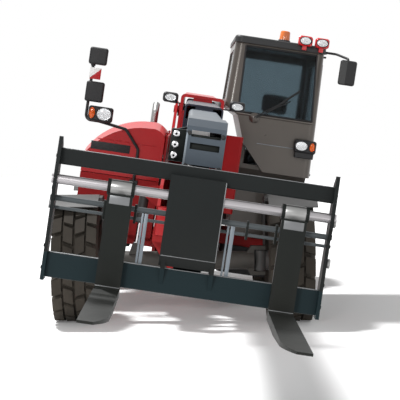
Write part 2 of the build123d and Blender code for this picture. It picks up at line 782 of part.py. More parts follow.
outside = cab_volume(0)
inside = cab_volume(CAB_WALL)
with BuildPart() as cab_shell:
    add(outside)
    add(inside, mode=Mode.SUBTRACT)
    with BuildSketch(Plane.XY.offset(CAB_TOP_Z - 60)):
        with Locations(((CAB_X[0] + CAB_X[1]) / 2, (CAB_Y[0] + CAB_Y[1]) / 2 + 20)):
            Rectangle(CAB_X[1] - CAB_X[0] - 150, CAB_Y[1] - CAB_Y[0] - 190)
    extrude(amount=100, mode=Mode.SUBTRACT)
    for outline, wall in ((WINDSCREEN, FRONT), (REAR_WINDOW, REAR), (SIDE_WINDOW, RIGHT), (DOOR, LEFT)):
        add(prism(outline, *wall), mode=Mode.SUBTRACT)
    # lugs and pins of the door's hinges
    spot = (DOOR_HINGE_X, DOOR_HINGE_Y)
    for z, pad_y0, pad_y1 in DOOR_HINGES:
        for lug_z in (z - HINGE_L / 2, z + HINGE_L + RUN):
            add(bar(Plane.XY.offset(lug_z), spot, HINGE_R, HINGE_L / 2 - RUN))
            add(box(1000, DOOR_HINGE_X, DOOR_HINGE_Y, 1640, lug_z, lug_z + HINGE_L / 2 - RUN))
        add(bar(Plane.XY.offset(z - HINGE_L / 2), spot, HINGE_PIN_R, 2 * HINGE_L))
keep("cab_shell", cab_shell.part, "chassis")

with BuildPart() as pane_layer:
    add(cab_volume(GLASS_IN))
    add(cab_volume(GLASS_IN + GLASS_T), mode=Mode.SUBTRACT)
with BuildPart() as cab_glass:
    for outline, wall in ((WINDSCREEN, FRONT), (REAR_WINDOW, REAR), (SIDE_WINDOW, RIGHT)):
        add(pane_layer.part & prism(outline, *wall, grow=-RUN))
keep("cab_glass", cab_glass.part, "chassis")

with BuildPart() as cab_door:
    add((outside - inside) & prism(DOOR, *LEFT, grow=-GAP))
    for outline in (DOOR_GLASS, DOOR_LOWER_GLASS):
        add(prism(outline, *LEFT), mode=Mode.SUBTRACT)
    # hinge straps, each on a pad, with the barrel at its end
    spot = (DOOR_HINGE_X, DOOR_HINGE_Y)
    for z, pad_y0, pad_y1 in DOOR_HINGES:
        strap = (z + RUN, z + HINGE_L)
        add(box(1000, CAB_X[1] + GAP + 4, pad_y0, pad_y1, *strap))
        add(box(CAB_X[1] + GAP, CAB_X[1] + GAP + 12, pad_y0, DOOR_HINGE_Y, *strap))
        add(bar(Plane.XY.offset(z + RUN), spot, HINGE_R, HINGE_L - RUN))
        add(bar(Plane.XY.offset(z), spot, HINGE_PIN_R + PIN_CLEAR, HINGE_L + 1), mode=Mode.SUBTRACT)
keep("cab_door", cab_door.part, "chassis")
with BuildPart() as door_glass:
    for outline in (DOOR_GLASS, DOOR_LOWER_GLASS):
        add(pane_layer.part & prism(outline, *LEFT, grow=-RUN))
keep("door_glass", door_glass.part, "chassis")

ROOF_W = CAB_X[1] - CAB_X[0] - 20
ROOF_SIDE_X = CAB_X[1] - 16
with BuildPart() as cab_roof:
    with BuildSketch(Plane.XY.offset(CAB_TOP_Z)):
        with Locations((ROOF_SIDE_X - ROOF_W / 2, (CAB_Y[0] + CAB_Y[1]) / 2 + 20)):
            RectangleRounded(ROOF_W, CAB_Y[1] - CAB_Y[0] - 30, 70)
    extrude(amount=ROOF_T)
    fillet(cab_roof.faces().sort_by(Axis.Z)[-1].edges(), 24)
keep("cab_roof", cab_roof.part, "chassis")

SEAT_X = 692
BACK_SLOPE = 0.193  # lean of the seat's back
SEAT_Y = 1270
FLOOR_Z = CAB_FLOOR_Z + CAB_WALL
with BuildPart() as seat_base:
    with BuildSketch(Plane.XY.offset(FLOOR_Z)):
        with Locations((SEAT_X, SEAT_Y)):
            RectangleRounded(360, 380, 30)
    extrude(amount=420, taper=4)
    with BuildSketch(Plane.XY.offset(FLOOR_Z + 420)):
        with Locations((SEAT_X, SEAT_Y + 10)):
            RectangleRounded(440, 470, 40)
    extrude(amount=50)
    with BuildSketch(Plane.YZ.offset(SEAT_X - 190)):
        with BuildLine():
            Polyline(
                (SEAT_Y + 180, FLOOR_Z + 430),
                (SEAT_Y + 245, FLOOR_Z + 430),
                (SEAT_Y + 220 + BACK_SLOPE * 570, FLOOR_Z + 1000),
                (SEAT_Y + 180 + BACK_SLOPE * 570, FLOOR_Z + 1000),
                close=True,
            )
        make_face()
    extrude(amount=380)
keep("seat_base", seat_base.part, "chassis")
with BuildPart() as seat_pads:
    with BuildSketch(Plane.XY.offset(FLOOR_Z + 470 + RUN)):
        with Locations((SEAT_X, SEAT_Y - 40)):
            RectangleRounded(470, 440, 60)
    extrude(amount=110)
    with BuildSketch(Plane.YZ.offset(SEAT_X - 225)):
        with BuildLine():
            Polyline(
                (SEAT_Y + 180 - RUN + BACK_SLOPE * 160, FLOOR_Z + 590),
                (SEAT_Y + 180 - RUN + BACK_SLOPE * 690, FLOOR_Z + 1120),
                (SEAT_Y + 200, FLOOR_Z + 1120),
                (SEAT_Y + 90, FLOOR_Z + 600),
                close=True,
            )
        make_face()
    extrude(amount=450)
keep("seat_pads", seat_pads.part, "chassis")

with BuildPart() as dashboard:
    with BuildSketch(Plane.YZ.offset(CAB_LOW_X)):
        with BuildLine():
            Polyline(
                (CAB_Y[0], 1500),
                (CAB_Y[0], SILL_Z - 60),
                (CAB_Y[0] + 190, SILL_Z - 80),
                (CAB_Y[0] + 230, SILL_Z - 240),
                (CAB_Y[0] + 120, 1500),
                close=True,
            )
        make_face()
    extrude(amount=CAB_X[1] - CAB_LOW_X - CAB_WALL - 20)
    add(cab_volume(CAB_WALL + RUN), mode=Mode.INTERSECT)
keep("dashboard", dashboard.part, "chassis")

WHEEL_PLANE = Plane(origin=(SEAT_X, 700, 1720), x_dir=(1, 0, 0), z_dir=(0, 0.5, 0.87))
with BuildPart() as steering:
    with BuildSketch(WHEEL_PLANE):
        Circle(192)
        Circle(168, mode=Mode.SUBTRACT)
    extrude(amount=24)
    with BuildSketch(WHEEL_PLANE):
        Circle(44)
        for angle in (90, 210, 330):
            with Locations(Rotation(0, 0, angle)):
                with Locations((90, 0)):
                    Rectangle(176, 28)
    extrude(amount=16)
    # column, down to the floor of the nose
    with BuildSketch(WHEEL_PLANE):
        Circle(36)
    extrude(amount=-420)
    add(cab_volume(CAB_WALL + RUN), mode=Mode.INTERSECT)
keep("steering_wheel", steering.part, "chassis")

# ---------------------------------------------------------------- fuel tank and steps
with BuildPart() as tank:
    with BuildSketch(Plane.XY.offset(TANK_Z)):
        with Locations((660, (TANK_Y[0] + TANK_Y[1]) / 2)):
            RectangleRounded(660, TANK_Y[1] - TANK_Y[0], 50)
    extrude(amount=CAB_FLOOR_Z - 98 - TANK_Z)
    for z in (TANK_Z + 40, TANK_Z + 160):
        with BuildSketch(Plane.XY.offset(z)):
            with Locations((940, 1180)):
                Rectangle(180, 460)
        extrude(amount=70, mode=Mode.SUBTRACT)
keep("fuel_tank", tank.part, "chassis")

# ---------------------------------------------------------------- lamps, mirrors and exhaust
def tube(points, radius, bend):
    """Round tube through points, its corners bent to the given radius."""
    with BuildPart() as body:
        with BuildLine() as path:
            FilletPolyline(*points, radius=bend)
        with BuildSketch(Plane(origin=path.wire() @ 0, z_dir=path.wire() % 0)):
            Circle(radius)
        sweep()
    return body.part


def rounded_box(x, y, z, sx, sy, sz, edge):
    """Box about its middle, all of its edges rounded."""
    with BuildPart() as body:
        with Locations((x, y, z)):
            Box(sx, sy, sz)
        fillet(body.edges(), edge)
    return body.part


with BuildPart() as right_mast:
    add(
        tube(
            (
                (-564, BAY_Y[0] - 20, 1040),
                (-564, BAY_Y[0] - 20, 1430),
                (-700, 700, 1600),
                (-960, 640, 1640),
                (-1085, 640, 1640),
                (-1085, 640, 2180),
            ),
            14,
            50,
        )
    )
    add(rounded_box(-564, BAY_Y[0] - 12, 1080, 80, 24, 120, 5))
    add(rounded_box(-951, 615, 1707, 230, 90, 140, 24))
    add(rounded_box(-1035, 620, 1905, 170, 60, 190, 22))
    add(rounded_box(-1045, 620, 2235, 170, 60, 160, 22))
keep("right_mast", right_mast.part, "chassis")

with BuildPart() as left_mirror:
    arm_z = CAB_TOP_Z + 20
    add(
        tube(
            (
                (ROOF_SIDE_X + RUN, 470, arm_z),
                (1120, 470, arm_z),
                (1214, 250, arm_z - 40),
                (1214, 250, 2420),
            ),
            11,
            30,
        )
    )
    add(rounded_box(1220, 240, 2400, 150, 60, 225, 22))
keep("left_mirror", left_mirror.part, "chassis")

with BuildPart() as left_headlamp:
    add(rounded_box(940, 235, 1686, 200, 90, 120, 24))
    add(rounded_box(940, 250, 1610, 170, 90, 60, 8))
keep("left_headlamp", left_headlamp.part, "chassis")

with BuildPart() as roof_lights:
    for x in (806, 958):
        add(rounded_box(x, 285, CAB_TOP_Z + 87, 130, 90, 92, 26))
        add(rounded_box(x, 312, CAB_TOP_Z + 30, 40, 45, 50, 6))
    with BuildSketch(Plane.XY.offset(CAB_TOP_Z + ROOF_T)):
        with Locations((632, 560)):
            Circle(46)
    extrude(amount=105, taper=5)
keep("roof_lights", roof_lights.part, "chassis")

with BuildPart() as exhaust:
    add(tube(((-505, HOOD_REAR + 60, 1300), (-505, HOOD_REAR + 60, 1800), (-505, HOOD_REAR + 140, 1880)), 38, 60))
    with BuildSketch(Plane.XY.offset(1290)):
        with Locations((-420, HOOD_REAR + 60)):
            Rectangle(240, 60)
    extrude(amount=20)
keep("exhaust", exhaust.part, "chassis")

with BuildPart() as rear_lights:
    for x in (-500, 410):
        add(rounded_box(x, FRAME_REAR + 60, COUNTER_TOP_Z + RUN + 80, 110, 60, 160, 14))
keep("rear_lights", rear_lights.part, "chassis")

# ---------------------------------------------------------------- telescopic boom
def box_tube(width, height, wall, y0, y1):
    """Rectangular boom section with rounded corners, open at both ends, from y0 back to y1."""
    with BuildPart() as tube_part:
        with BuildSketch(Plane.XZ.offset(-y1)):
            with Locations((BOOM_X, PIVOT_Z)):
                RectangleRounded(width, height, wall * 2.2)
                RectangleRounded(width - 2 * wall, height - 2 * wall, wall * 1.2, mode=Mode.SUBTRACT)
        extrude(amount=y1 - y0)
    return tube_part.part


def pads(width, height, y, inward):
    """Four wear pads on a section of the given size; inward pads line it, the others stand on it."""
    rise = STAGE_GAP - RUN
    shift = -rise / 2 if inward else rise / 2
    with BuildPart() as pad_set:
        for x, z, sx, sz in (
            (0, height / 2 + shift, width * 0.5, rise),
            (0, -height / 2 - shift, width * 0.5, rise),
            (width / 2 + shift, 0, rise, height * 0.4),
            (-width / 2 - shift, 0, rise, height * 0.4),
        ):
            with Locations((BOOM_X + x, y, PIVOT_Z + z)):
                Box(sx, PAD_L, sz)
    return pad_set.part


def outline_plates(outline, *spans):
    """Flat plates of one side outline, one for each pair of X limits."""
    with BuildPart() as plates:
        for x0, x1 in spans:
            plane, width = across(x0, x1)
            with BuildSketch(plane):
                with BuildLine():
                    Polyline(*outline, close=True)
                make_face()
            extrude(amount=width)
    return plates.part


def cross_bar(y, z, radius, x0, x1):
    """Round bar across the machine from x0 to x1."""
    plane, width = across(x0, x1)
    with BuildPart() as bar:
        with BuildSketch(plane):
            with Locations((y, z)):
                Circle(radius)
        extrude(amount=width)
    return bar.part


LUG_Y = PIVOT_Y - LIFT_AHEAD
LUG_Z = PIVOT_Z - LIFT_BELOW
with BuildPart() as boom_outer:
    add(box_tube(OUTER_W, OUTER_H, BOOM_WALL, OUTER_FRONT, PIVOT_Y + 60))
    add(pads(OUTER_W - 2 * BOOM_WALL, OUTER_H - 2 * BOOM_WALL, OUTER_FRONT + PAD_L / 2 + 10, True))
    add(
        outline_plates(
            (
                (LUG_Y + 130, PIVOT_Z - OUTER_H / 2 + 6),
                (LUG_Y - 130, PIVOT_Z - OUTER_H / 2 + 6),
                (LUG_Y - 48, LUG_Z - 34),
                (LUG_Y + 48, LUG_Z - 34),
            ),
            (BOOM_X - LIFT_EYE_HALF - RUN - 26, BOOM_X - LIFT_EYE_HALF - RUN),
            (BOOM_X + LIFT_EYE_HALF + RUN, BOOM_X + LIFT_EYE_HALF + RUN + 26),
        )
    )
    # collar round the front end
    with BuildSketch(Plane.XZ.offset(-OUTER_FRONT)):
        with Locations((BOOM_X, PIVOT_Z)):
            RectangleRounded(OUTER_W + 28, OUTER_H + 28, 36)
            RectangleRounded(OUTER_W - 2, OUTER_H - 2, 26, mode=Mode.SUBTRACT)
    extrude(amount=-70)
    add(cross_bar(PIVOT_Y, PIVOT_Z, PIN_R + 34, FRAME_IN[0] + GAP, FRAME_IN[1] - GAP))
    add(cross_bar(PIVOT_Y, PIVOT_Z, PIN_R + PIN_CLEAR, FRAME_IN[0], FRAME_IN[1]), mode=Mode.SUBTRACT)
keep("boom_outer", boom_outer.part, "boom")

with BuildPart() as boom_middle:
    add(box_tube(MIDDLE_W, MIDDLE_H, BOOM_WALL, MIDDLE_FRONT, MIDDLE_FRONT + MIDDLE_L))
    add(pads(MIDDLE_W, MIDDLE_H, MIDDLE_FRONT + MIDDLE_L - PAD_L / 2 - 10, False))
    add(pads(MIDDLE_W - 2 * BOOM_WALL, MIDDLE_H - 2 * BOOM_WALL, MIDDLE_FRONT + PAD_L / 2 + 10, True))
keep("boom_middle", boom_middle.part, "boom")

HEAD_TOP = PIVOT_Z + INNER_H / 2
HEAD_OUTLINE = (
    (HEAD_Y + 40, HEAD_TOP),
    (HEAD_NOSE + 60, HEAD_TOP),
    (HEAD_NOSE, HEAD_TOP - 36),
    (HEAD_NOSE, TILT_Z + 20),
    (TILT_Y - 44, TILT_Z - 34),
    (TILT_Y + 44, TILT_Z - 34),
    (TILT_Y + 260, TILT_Z + 160),
    (HEAD_Y + 40, PIVOT_Z - INNER_H / 2),
)
HEAD_PLATES = (
    (BOOM_X - INNER_W / 2, BOOM_X - INNER_W / 2 + BOOM_WALL),
    (BOOM_X + INNER_W / 2 - BOOM_WALL, BOOM_X + INNER_W / 2),
)
with BuildPart() as boom_inner:
    add(box_tube(INNER_W, INNER_H, BOOM_WALL, HEAD_Y, HEAD_Y + INNER_L))
    add(pads(INNER_W, INNER_H, HEAD_Y + INNER_L - PAD_L / 2 - 10, False))
    add(outline_plates(HEAD_OUTLINE, *HEAD_PLATES))
    # top plate and front plate of the head
    add(
        outline_plates(
            (
                (HEAD_Y + 30, HEAD_TOP),
                (HEAD_NOSE + 60, HEAD_TOP),
                (HEAD_NOSE, HEAD_TOP - 36),
                (HEAD_NOSE, HEAD_TOP - 230),
                (HEAD_NOSE + 12, HEAD_TOP - 230),
                (HEAD_NOSE + 12, HEAD_TOP - 40),
                (HEAD_NOSE + 64, HEAD_TOP - 12),
                (HEAD_Y + 30, HEAD_TOP - 12),
            ),
            (BOOM_X - INNER_W / 2 + 6, BOOM_X + INNER_W / 2 - 6),
        )
    )
    # window in the front plate
    with BuildSketch(Plane.XZ.offset(-HEAD_NOSE - 30)):
        with Locations((BOOM_X, HEAD_TOP - 105)):
            Rectangle(150, 96)
        with Locations((BOOM_X, HEAD_TOP - 105)):
            Rectangle(150, 30, mode=Mode.SUBTRACT)
    extrude(amount=60, mode=Mode.SUBTRACT)
    # pins of the tilt cylinder and of the hitch
    add(cross_bar(TILT_BASE_Y, TILT_BASE_Z, TILT_PIN_R, HEAD_PLATES[0][0] + 4, HEAD_PLATES[1][1] - 4))
    add(cross_bar(TILT_Y, TILT_Z, HITCH_PIN_R, HEAD_PLATES[0][0] - 14, HEAD_PLATES[1][1] + 14))
keep("boom_inner", boom_inner.part, "boom")

with BuildPart() as boom_lights:
    for side in (-1, 1):
        x = BOOM_X + 12 + side * 279
        add(rounded_box(x, OUTER_FRONT + 20, PIVOT_Z + 168, 128, 80, 84, 26))
        reach = abs(x - BOOM_X) - OUTER_W / 2 - 14
        add(
            rounded_box(
                BOOM_X + side * (OUTER_W / 2 + 14 + RUN + reach / 2),
                OUTER_FRONT + 40,
                PIVOT_Z + 130,
                reach,
                50,
                12,
                3,
            )
        )
keep("boom_lights", boom_lights.part, "boom")

# ---------------------------------------------------------------- hitch and fork carriage
SIDE_X = (CARRIAGE_X - CARRIAGE_W / 2, CARRIAGE_X + CARRIAGE_W / 2)
CARRIAGE_TOP = CARRIAGE_Z + CARRIAGE_H
SIDE_OUTLINE = (
    (CARRIAGE_Y - 34, CARRIAGE_Z),
    (CARRIAGE_Y + 60, CARRIAGE_Z),
    (CARRIAGE_Y + 84, CARRIAGE_Z + 180),
    (CARRIAGE_Y + 60, TOP_BEAM_Z + TOP_BEAM_H + 10),
    (CARRIAGE_Y - 12, CARRIAGE_TOP),
    (CARRIAGE_Y - 40, CARRIAGE_TOP),
    (CARRIAGE_Y - 58, SHAFT_Z + 40),
    (CARRIAGE_Y - 58, SHAFT_Z - 50),
    (CARRIAGE_Y - 26, SHAFT_Z - 110),
)
SHAFT_Y = CARRIAGE_Y - FORK_T / 2
with BuildPart() as carriage:
    add(outline_plates(SIDE_OUTLINE, (SIDE_X[0], SIDE_X[0] + SIDE_T), (SIDE_X[1] - SIDE_T, SIDE_X[1])))
    plane, width = across(SIDE_X[0] + 2, SIDE_X[1] - 2)
    for y, z, depth, height in (
        (CARRIAGE_Y + BEAM_T / 2, CARRIAGE_Z + 14 + BOTTOM_BEAM_H / 2, BEAM_T, BOTTOM_BEAM_H),
        (CARRIAGE_Y + BEAM_T / 2 - 10, TOP_BEAM_Z + TOP_BEAM_H / 2, BEAM_T, TOP_BEAM_H),
    ):
        with BuildSketch(plane):
            with Locations((y, z)):
                RectangleRounded(depth, height, 8)
        extrude(amount=width)
    for y, z, radius in (
        (SHAFT_Y, SHAFT_Z, SHAFT_R),
        (CARRIAGE_Y + 30, BAR_Z[0], 14),
        (CARRIAGE_Y + 30, BAR_Z[1], 8),
    ):
        add(cross_bar(y, z, radius, SIDE_X[0] - 10, SIDE_X[1] + 10))
    # centre plate in front of the shaft, bent back below
    add(
        outline_plates(
            (
                (CARRIAGE_Y - 62, SHAFT_Z + 104),
                (CARRIAGE_Y - 62, CARRIAGE_Z + 205),
                (CARRIAGE_Y - 14, CARRIAGE_Z + 154),
                (CARRIAGE_Y + 6, CARRIAGE_Z + 154),
                (CARRIAGE_Y - 48, CARRIAGE_Z + 212),
                (CARRIAGE_Y - 48, SHAFT_Z + 90),
                (CARRIAGE_Y, SHAFT_Z + 90),
                (CARRIAGE_Y, SHAFT_Z + 104),
            ),
            PLATE_X,
        )
    )
    # hitch plates behind the centre plate, meeting the tilt pin hub
    add(
        outline_plates(
            (
                (CARRIAGE_Y - 50, SHAFT_Z + 96),
                (CARRIAGE_Y - 50, CARRIAGE_Z + 205),
                (CARRIAGE_Y + 10, CARRIAGE_Z + 30),
                (CARRIAGE_Y + 50, CARRIAGE_Z + 30),
                (TILT_Y + 30, TILT_Z - 60),
                (TILT_Y + 52, TILT_Z),
                (TILT_Y + 20, TILT_Z + 48),
                (CARRIAGE_Y + 50, SHAFT_Z + 60),
                (CARRIAGE_Y + 30, SHAFT_Z + 96),
            ),
            *HITCH_PLATES,
        )
    )
    # lever of the tilt cylinder, two ears on the hub between the head plates
    add(cross_bar(TILT_Y, TILT_Z, HUB_TUBE_R, HEAD_PLATES[0][1] + GAP, HEAD_PLATES[1][0] - GAP))
    add(
        outline_plates(
            (
                (TILT_Y - 44, TILT_Z - 10),
                (TILT_LUG[0] - 32, TILT_LUG[1] + 6),
                (TILT_LUG[0], TILT_LUG[1] + 34),
                (TILT_LUG[0] + 34, TILT_LUG[1]),
                (TILT_Y + 44, TILT_Z - 10),
            ),
            (BOOM_X - TILT_EYE_HALF - RUN - 18, BOOM_X - TILT_EYE_HALF - RUN),
            (BOOM_X + TILT_EYE_HALF + RUN, BOOM_X + TILT_EYE_HALF + RUN + 18),
        )
    )
    # web from the hub forward to the bottom beam
    add(
        outline_plates(
            (
                (TILT_Y - 30, TILT_Z - 10),
                (CARRIAGE_Y + BEAM_T - 4, CARRIAGE_Z + 120),
                (CARRIAGE_Y + BEAM_T - 4, CARRIAGE_Z + 40),
                (TILT_Y + 10, TILT_Z - 44),
            ),
            (BOOM_X - 70, BOOM_X + 70),
        )
    )
    add(cross_bar(TILT_Y, TILT_Z, HITCH_PIN_R + PIN_CLEAR, -400, 400), mode=Mode.SUBTRACT)
keep("fork_carriage", carriage.part, "carriage")

FORK_TOP = CARRIAGE_Z + 7  # upper face of the tines
for name, x in zip(("fork_right", "fork_left"), FORK_XS):
    inner = 1 if x < 0 else -1  # side of the fork that faces the other one
    with BuildPart() as fork:
        plane, width = across(x - FORK_W / 2, x + FORK_W / 2)
        with BuildSketch(plane):
            with BuildLine():
                Polyline(
                    (CARRIAGE_Y - RUN, SHAFT_Z),
                    (CARRIAGE_Y - RUN, FORK_TOP - FORK_T + 20),
                    (CARRIAGE_Y - 20, FORK_TOP - FORK_T),
                    (CARRIAGE_Y - FORK_T - 500, FORK_TOP - FORK_T),
                    (CARRIAGE_Y - FORK_T - FORK_L, FORK_TOP - 12),
                    (CARRIAGE_Y - FORK_T - FORK_L, FORK_TOP),
                    (CARRIAGE_Y - FORK_T - 8, FORK_TOP),
                    (CARRIAGE_Y - FORK_T, FORK_TOP + 8),
                    (CARRIAGE_Y - FORK_T, SHAFT_Z),
                    close=True,
                )
            make_face()
        extrude(amount=width)
        # tip, rounded off on its inner side
        tip_y = CARRIAGE_Y - FORK_T - FORK_L
        with BuildSketch(Plane.XY.offset(FORK_TOP - FORK_T - 5)):
            with BuildLine():
                side_x = x + inner * FORK_W / 2
                start = (side_x, tip_y + 330)
                end = (side_x - inner * 0.45 * FORK_W, tip_y)
                ThreePointArc(start, (side_x - inner * 0.12 * FORK_W, tip_y + 130), end)
                Polyline(
                    end,
                    (side_x, tip_y - 10),
                    (side_x + inner * 10, tip_y - 10),
                    (side_x + inner * 10, tip_y + 330),
                    start,
                )
            make_face()
        extrude(amount=FORK_T + 10, mode=Mode.SUBTRACT)
        add(cross_bar(SHAFT_Y, SHAFT_Z, COLLAR_R, x - FORK_W / 2, x + FORK_W / 2))
        add(cross_bar(SHAFT_Y, SHAFT_Z, SHAFT_R + PIN_CLEAR, x - FORK_W, x + FORK_W), mode=Mode.SUBTRACT)
    keep(name, fork.part, "carriage")

# ---------------------------------------------------------------- cylinders
def turned(point, about, angle):
    """Point (Y, Z) turned about another by an angle, as the boom turns about its pivot."""
    y, z = point[0] - about[0], point[1] - about[1]
    a = radians(angle)
    return about[0] + y * cos(a) - z * sin(a), about[1] + y * sin(a) + z * cos(a)


def cylinder(flat, start, end, bore, rod_radius, barrel_l, rod_l, pin_radius, eye_half):
    """Barrel and rod of a hydraulic cylinder that swings in a plane, from the pin at start to the eye at end."""
    foot = flat.from_local_coords((*start, 0))
    head = flat.from_local_coords((*end, 0))
    run = Plane(origin=foot, x_dir=flat.z_dir, z_dir=head - foot)
    length = (head - foot).length
    eye_radius = pin_radius + CYLINDER_WALL + 4
    with BuildPart() as barrel:
        with BuildSketch(run.offset(pin_radius + 6)):
            Circle(bore + CYLINDER_WALL)
        extrude(amount=barrel_l - pin_radius - 6)
        with BuildSketch(run.offset(eye_radius + 8)):
            Circle(bore)
        extrude(amount=barrel_l - eye_radius - 8 - 30, mode=Mode.SUBTRACT)
        with BuildSketch(run.offset(barrel_l - 40)):
            Circle(rod_radius + RUN)
        extrude(amount=50, mode=Mode.SUBTRACT)
        with BuildSketch(flat.offset(-eye_half)):
            with Locations(start):
                Circle(eye_radius)
        extrude(amount=2 * eye_half)
        with BuildSketch(flat.offset(-2 * bore)):
            with Locations(start):
                Circle(pin_radius + PIN_CLEAR)
        extrude(amount=4 * bore, mode=Mode.SUBTRACT)
    with BuildPart() as rod:
        with BuildSketch(run.offset(length - rod_l)):
            Circle(rod_radius)
        extrude(amount=rod_l)
        with BuildSketch(run.offset(length - rod_l)):
            Circle(bore - RUN)
        extrude(amount=26)
        with BuildSketch(flat.offset(-eye_half)):
            with Locations(end):
                Circle(eye_radius)
        extrude(amount=2 * eye_half)
        with BuildSketch(flat.offset(-2 * bore)):
            with Locations(end):
                Circle(pin_radius)
        extrude(amount=4 * bore, mode=Mode.SUBTRACT)
    return barrel.part, rod.part


MIDLINE = Plane.YZ.offset(BOOM_X)
LIFT_TOP = turned((LUG_Y, LUG_Z), (PIVOT_Y, PIVOT_Z), BOOM_DIP)
lift_barrel, lift_rod = cylinder(
    MIDLINE, LIFT_BASE, LIFT_TOP, LIFT_BORE_R, LIFT_ROD_R, LIFT_BARREL_L, LIFT_ROD_L, LIFT_PIN_R, LIFT_EYE_HALF
)
keep("lift_barrel", lift_barrel, "chassis")
keep("lift_rod", lift_rod, "chassis")

# the lug on the levelled carriage, in the boom's own frame
TILT_TOP = turned(TILT_LUG, (TILT_Y, TILT_Z), -BOOM_DIP)
tilt_barrel, tilt_rod = cylinder(
    MIDLINE,
    (TILT_BASE_Y, TILT_BASE_Z),
    TILT_TOP,
    TILT_BORE_R,
    TILT_ROD_R,
    TILT_BARREL_L,
    TILT_ROD_L,
    TILT_PIN_R,
    TILT_EYE_HALF,
)
keep("tilt_barrel", tilt_barrel, "boom")
keep("tilt_rod", tilt_rod, "boom")

# the axle's lug, in the frame of the leaning chassis
LEVEL_EYE = turned((LEVEL_X, LEVEL_EYE_Z), (0, AXLE_Z), LEAN)
level_barrel, level_rod = cylinder(
    Plane.XZ,
    (LEVEL_X, LEVEL_TOP_Z),
    LEVEL_EYE,
    LEVEL_BORE_R,
    LEVEL_ROD_R,
    LEVEL_BARREL_L,
    LEVEL_ROD_L,
    LEVEL_PIN_R,
    LEVEL_EYE_HALF,
)
keep("level_barrel", level_barrel, "chassis")
keep("level_rod", level_rod, "chassis")

with BuildPart() as front_axle:
    add(axle.part.moved(Location((0, 0, AXLE_Z))))
    for y in (-LEVEL_EYE_HALF - RUN - 16, LEVEL_EYE_HALF + RUN):
        with BuildSketch(Plane.XZ.offset(-y)):
            with BuildLine():
                Polyline(
                    (LEVEL_X - 60, AXLE_Z + AXLE_TUBE_R - 20),
                    (LEVEL_X - 26, LEVEL_EYE_Z + 24),
                    (LEVEL_X + 26, LEVEL_EYE_Z + 24),
                    (LEVEL_X + 60, AXLE_Z + AXLE_TUBE_R - 20),
                    close=True,
                )
            make_face()
        extrude(amount=-16)
keep("front_axle", front_axle.part, "ground")

TILT_AXIS = Axis((0, TILT_Y, TILT_Z), (1, 0, 0))

# ---------------------------------------------------------------- placing and writing
TURNS = {"ground": (), "chassis": ((LEAN_AXIS, LEAN),), "boom": ((BOOM_AXIS, BOOM_DIP), (LEAN_AXIS, LEAN))}
TURNS["carriage"] = ((TILT_AXIS, -BOOM_DIP),) + TURNS["boom"]

placed = {}
for name, (solid, group) in pieces.items():
    for axis, angle in TURNS[group]:
        solid = solid.rotate(axis, angle)
    placed[name] = solid
boxes = [solid.bounding_box() for solid in placed.values()]
low = [min(box.min.X for box in boxes), min(box.min.Y for box in boxes), min(box.min.Z for box in boxes)]
high = [max(box.max.X for box in boxes), max(box.max.Y for box in boxes)]
middle = Location((-(low[0] + high[0]) / 2, -(low[1] + high[1]) / 2, -low[2]))
for name, solid in placed.items():
    final = solid.moved(middle)
    final.label = name
    export_step(final, f"parts/{name}.step")
print("moved to the middle by", [round(v, 4) for v in middle.position])
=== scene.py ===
# %% [markdown]
# This lesson dresses a telehandler: a farm machine with a long telescopic boom, a wide carriage with two forks
# and a cab beside the boom. The solid model is loaded first, and everything that follows is measured from it.

# %% Load the solid model
import json
from math import cos, pi, radians, sin

import bpy
from mathutils import Matrix, Vector


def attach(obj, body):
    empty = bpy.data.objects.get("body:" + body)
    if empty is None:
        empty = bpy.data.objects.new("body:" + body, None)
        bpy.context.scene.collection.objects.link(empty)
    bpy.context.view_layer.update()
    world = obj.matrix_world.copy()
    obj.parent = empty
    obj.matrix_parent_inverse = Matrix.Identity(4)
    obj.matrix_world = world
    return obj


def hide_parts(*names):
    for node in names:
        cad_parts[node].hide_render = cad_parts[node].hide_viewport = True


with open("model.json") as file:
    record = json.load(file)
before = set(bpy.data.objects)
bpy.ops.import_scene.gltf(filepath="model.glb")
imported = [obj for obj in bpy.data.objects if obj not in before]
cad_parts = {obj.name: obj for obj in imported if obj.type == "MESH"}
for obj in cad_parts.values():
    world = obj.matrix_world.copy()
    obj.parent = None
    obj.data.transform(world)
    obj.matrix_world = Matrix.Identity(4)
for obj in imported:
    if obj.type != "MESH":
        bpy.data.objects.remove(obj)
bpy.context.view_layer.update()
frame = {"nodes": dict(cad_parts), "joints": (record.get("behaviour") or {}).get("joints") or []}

bpy.ops.object.select_all(action="DESELECT")

# %% [markdown]
# The machine is easiest to describe standing upright, from a point on the ground below its front axle, with X to
# the cab side, Y to the rear and Z up. The real one leans: its chassis is turned over the axles, the boom dips
# about its pivot, and the carriage is turned level again. So each group of pieces gets one matrix that carries it
# from the upright description to its place, worked out from the joints of the solid model.

# %% Where each group stands
JOINTS = {joint["name"]: joint for joint in frame["joints"]}


def joint_place(name):
    """Place of a joint, in metres."""
    return Vector(JOINTS[name]["pos_m"])


AXLE_Z = 0.534  # height of the axles in the upright description
front_axle = joint_place("front_axle_tilt")
rear_axle = joint_place("rear_axle_tilt")
WHEELBASE = round((rear_axle - front_axle).y, 3)
door_axis = Vector(JOINTS["cab_door_swing"]["axis"])
LEAN = Vector((0, 0, 1)).angle(door_axis)
GROUND = Matrix.Translation(front_axle - Vector((0, 0, AXLE_Z)))
CHASSIS = Matrix.Translation(front_axle) @ Matrix.Rotation(LEAN, 4, "Y") @ Matrix.Translation((0, 0, -AXLE_Z))
PIVOT = CHASSIS.inverted() @ joint_place("boom_lift")
boom_axis = CHASSIS.to_3x3().inverted() @ Vector(JOINTS["boom_extend"]["axis"])
DIP = Vector((0, -1, 0)).angle(boom_axis)
BOOM = CHASSIS @ Matrix.Translation(PIVOT) @ Matrix.Rotation(DIP, 4, "X") @ Matrix.Translation(-PIVOT)
TILT = BOOM.inverted() @ joint_place("carriage_tilt")
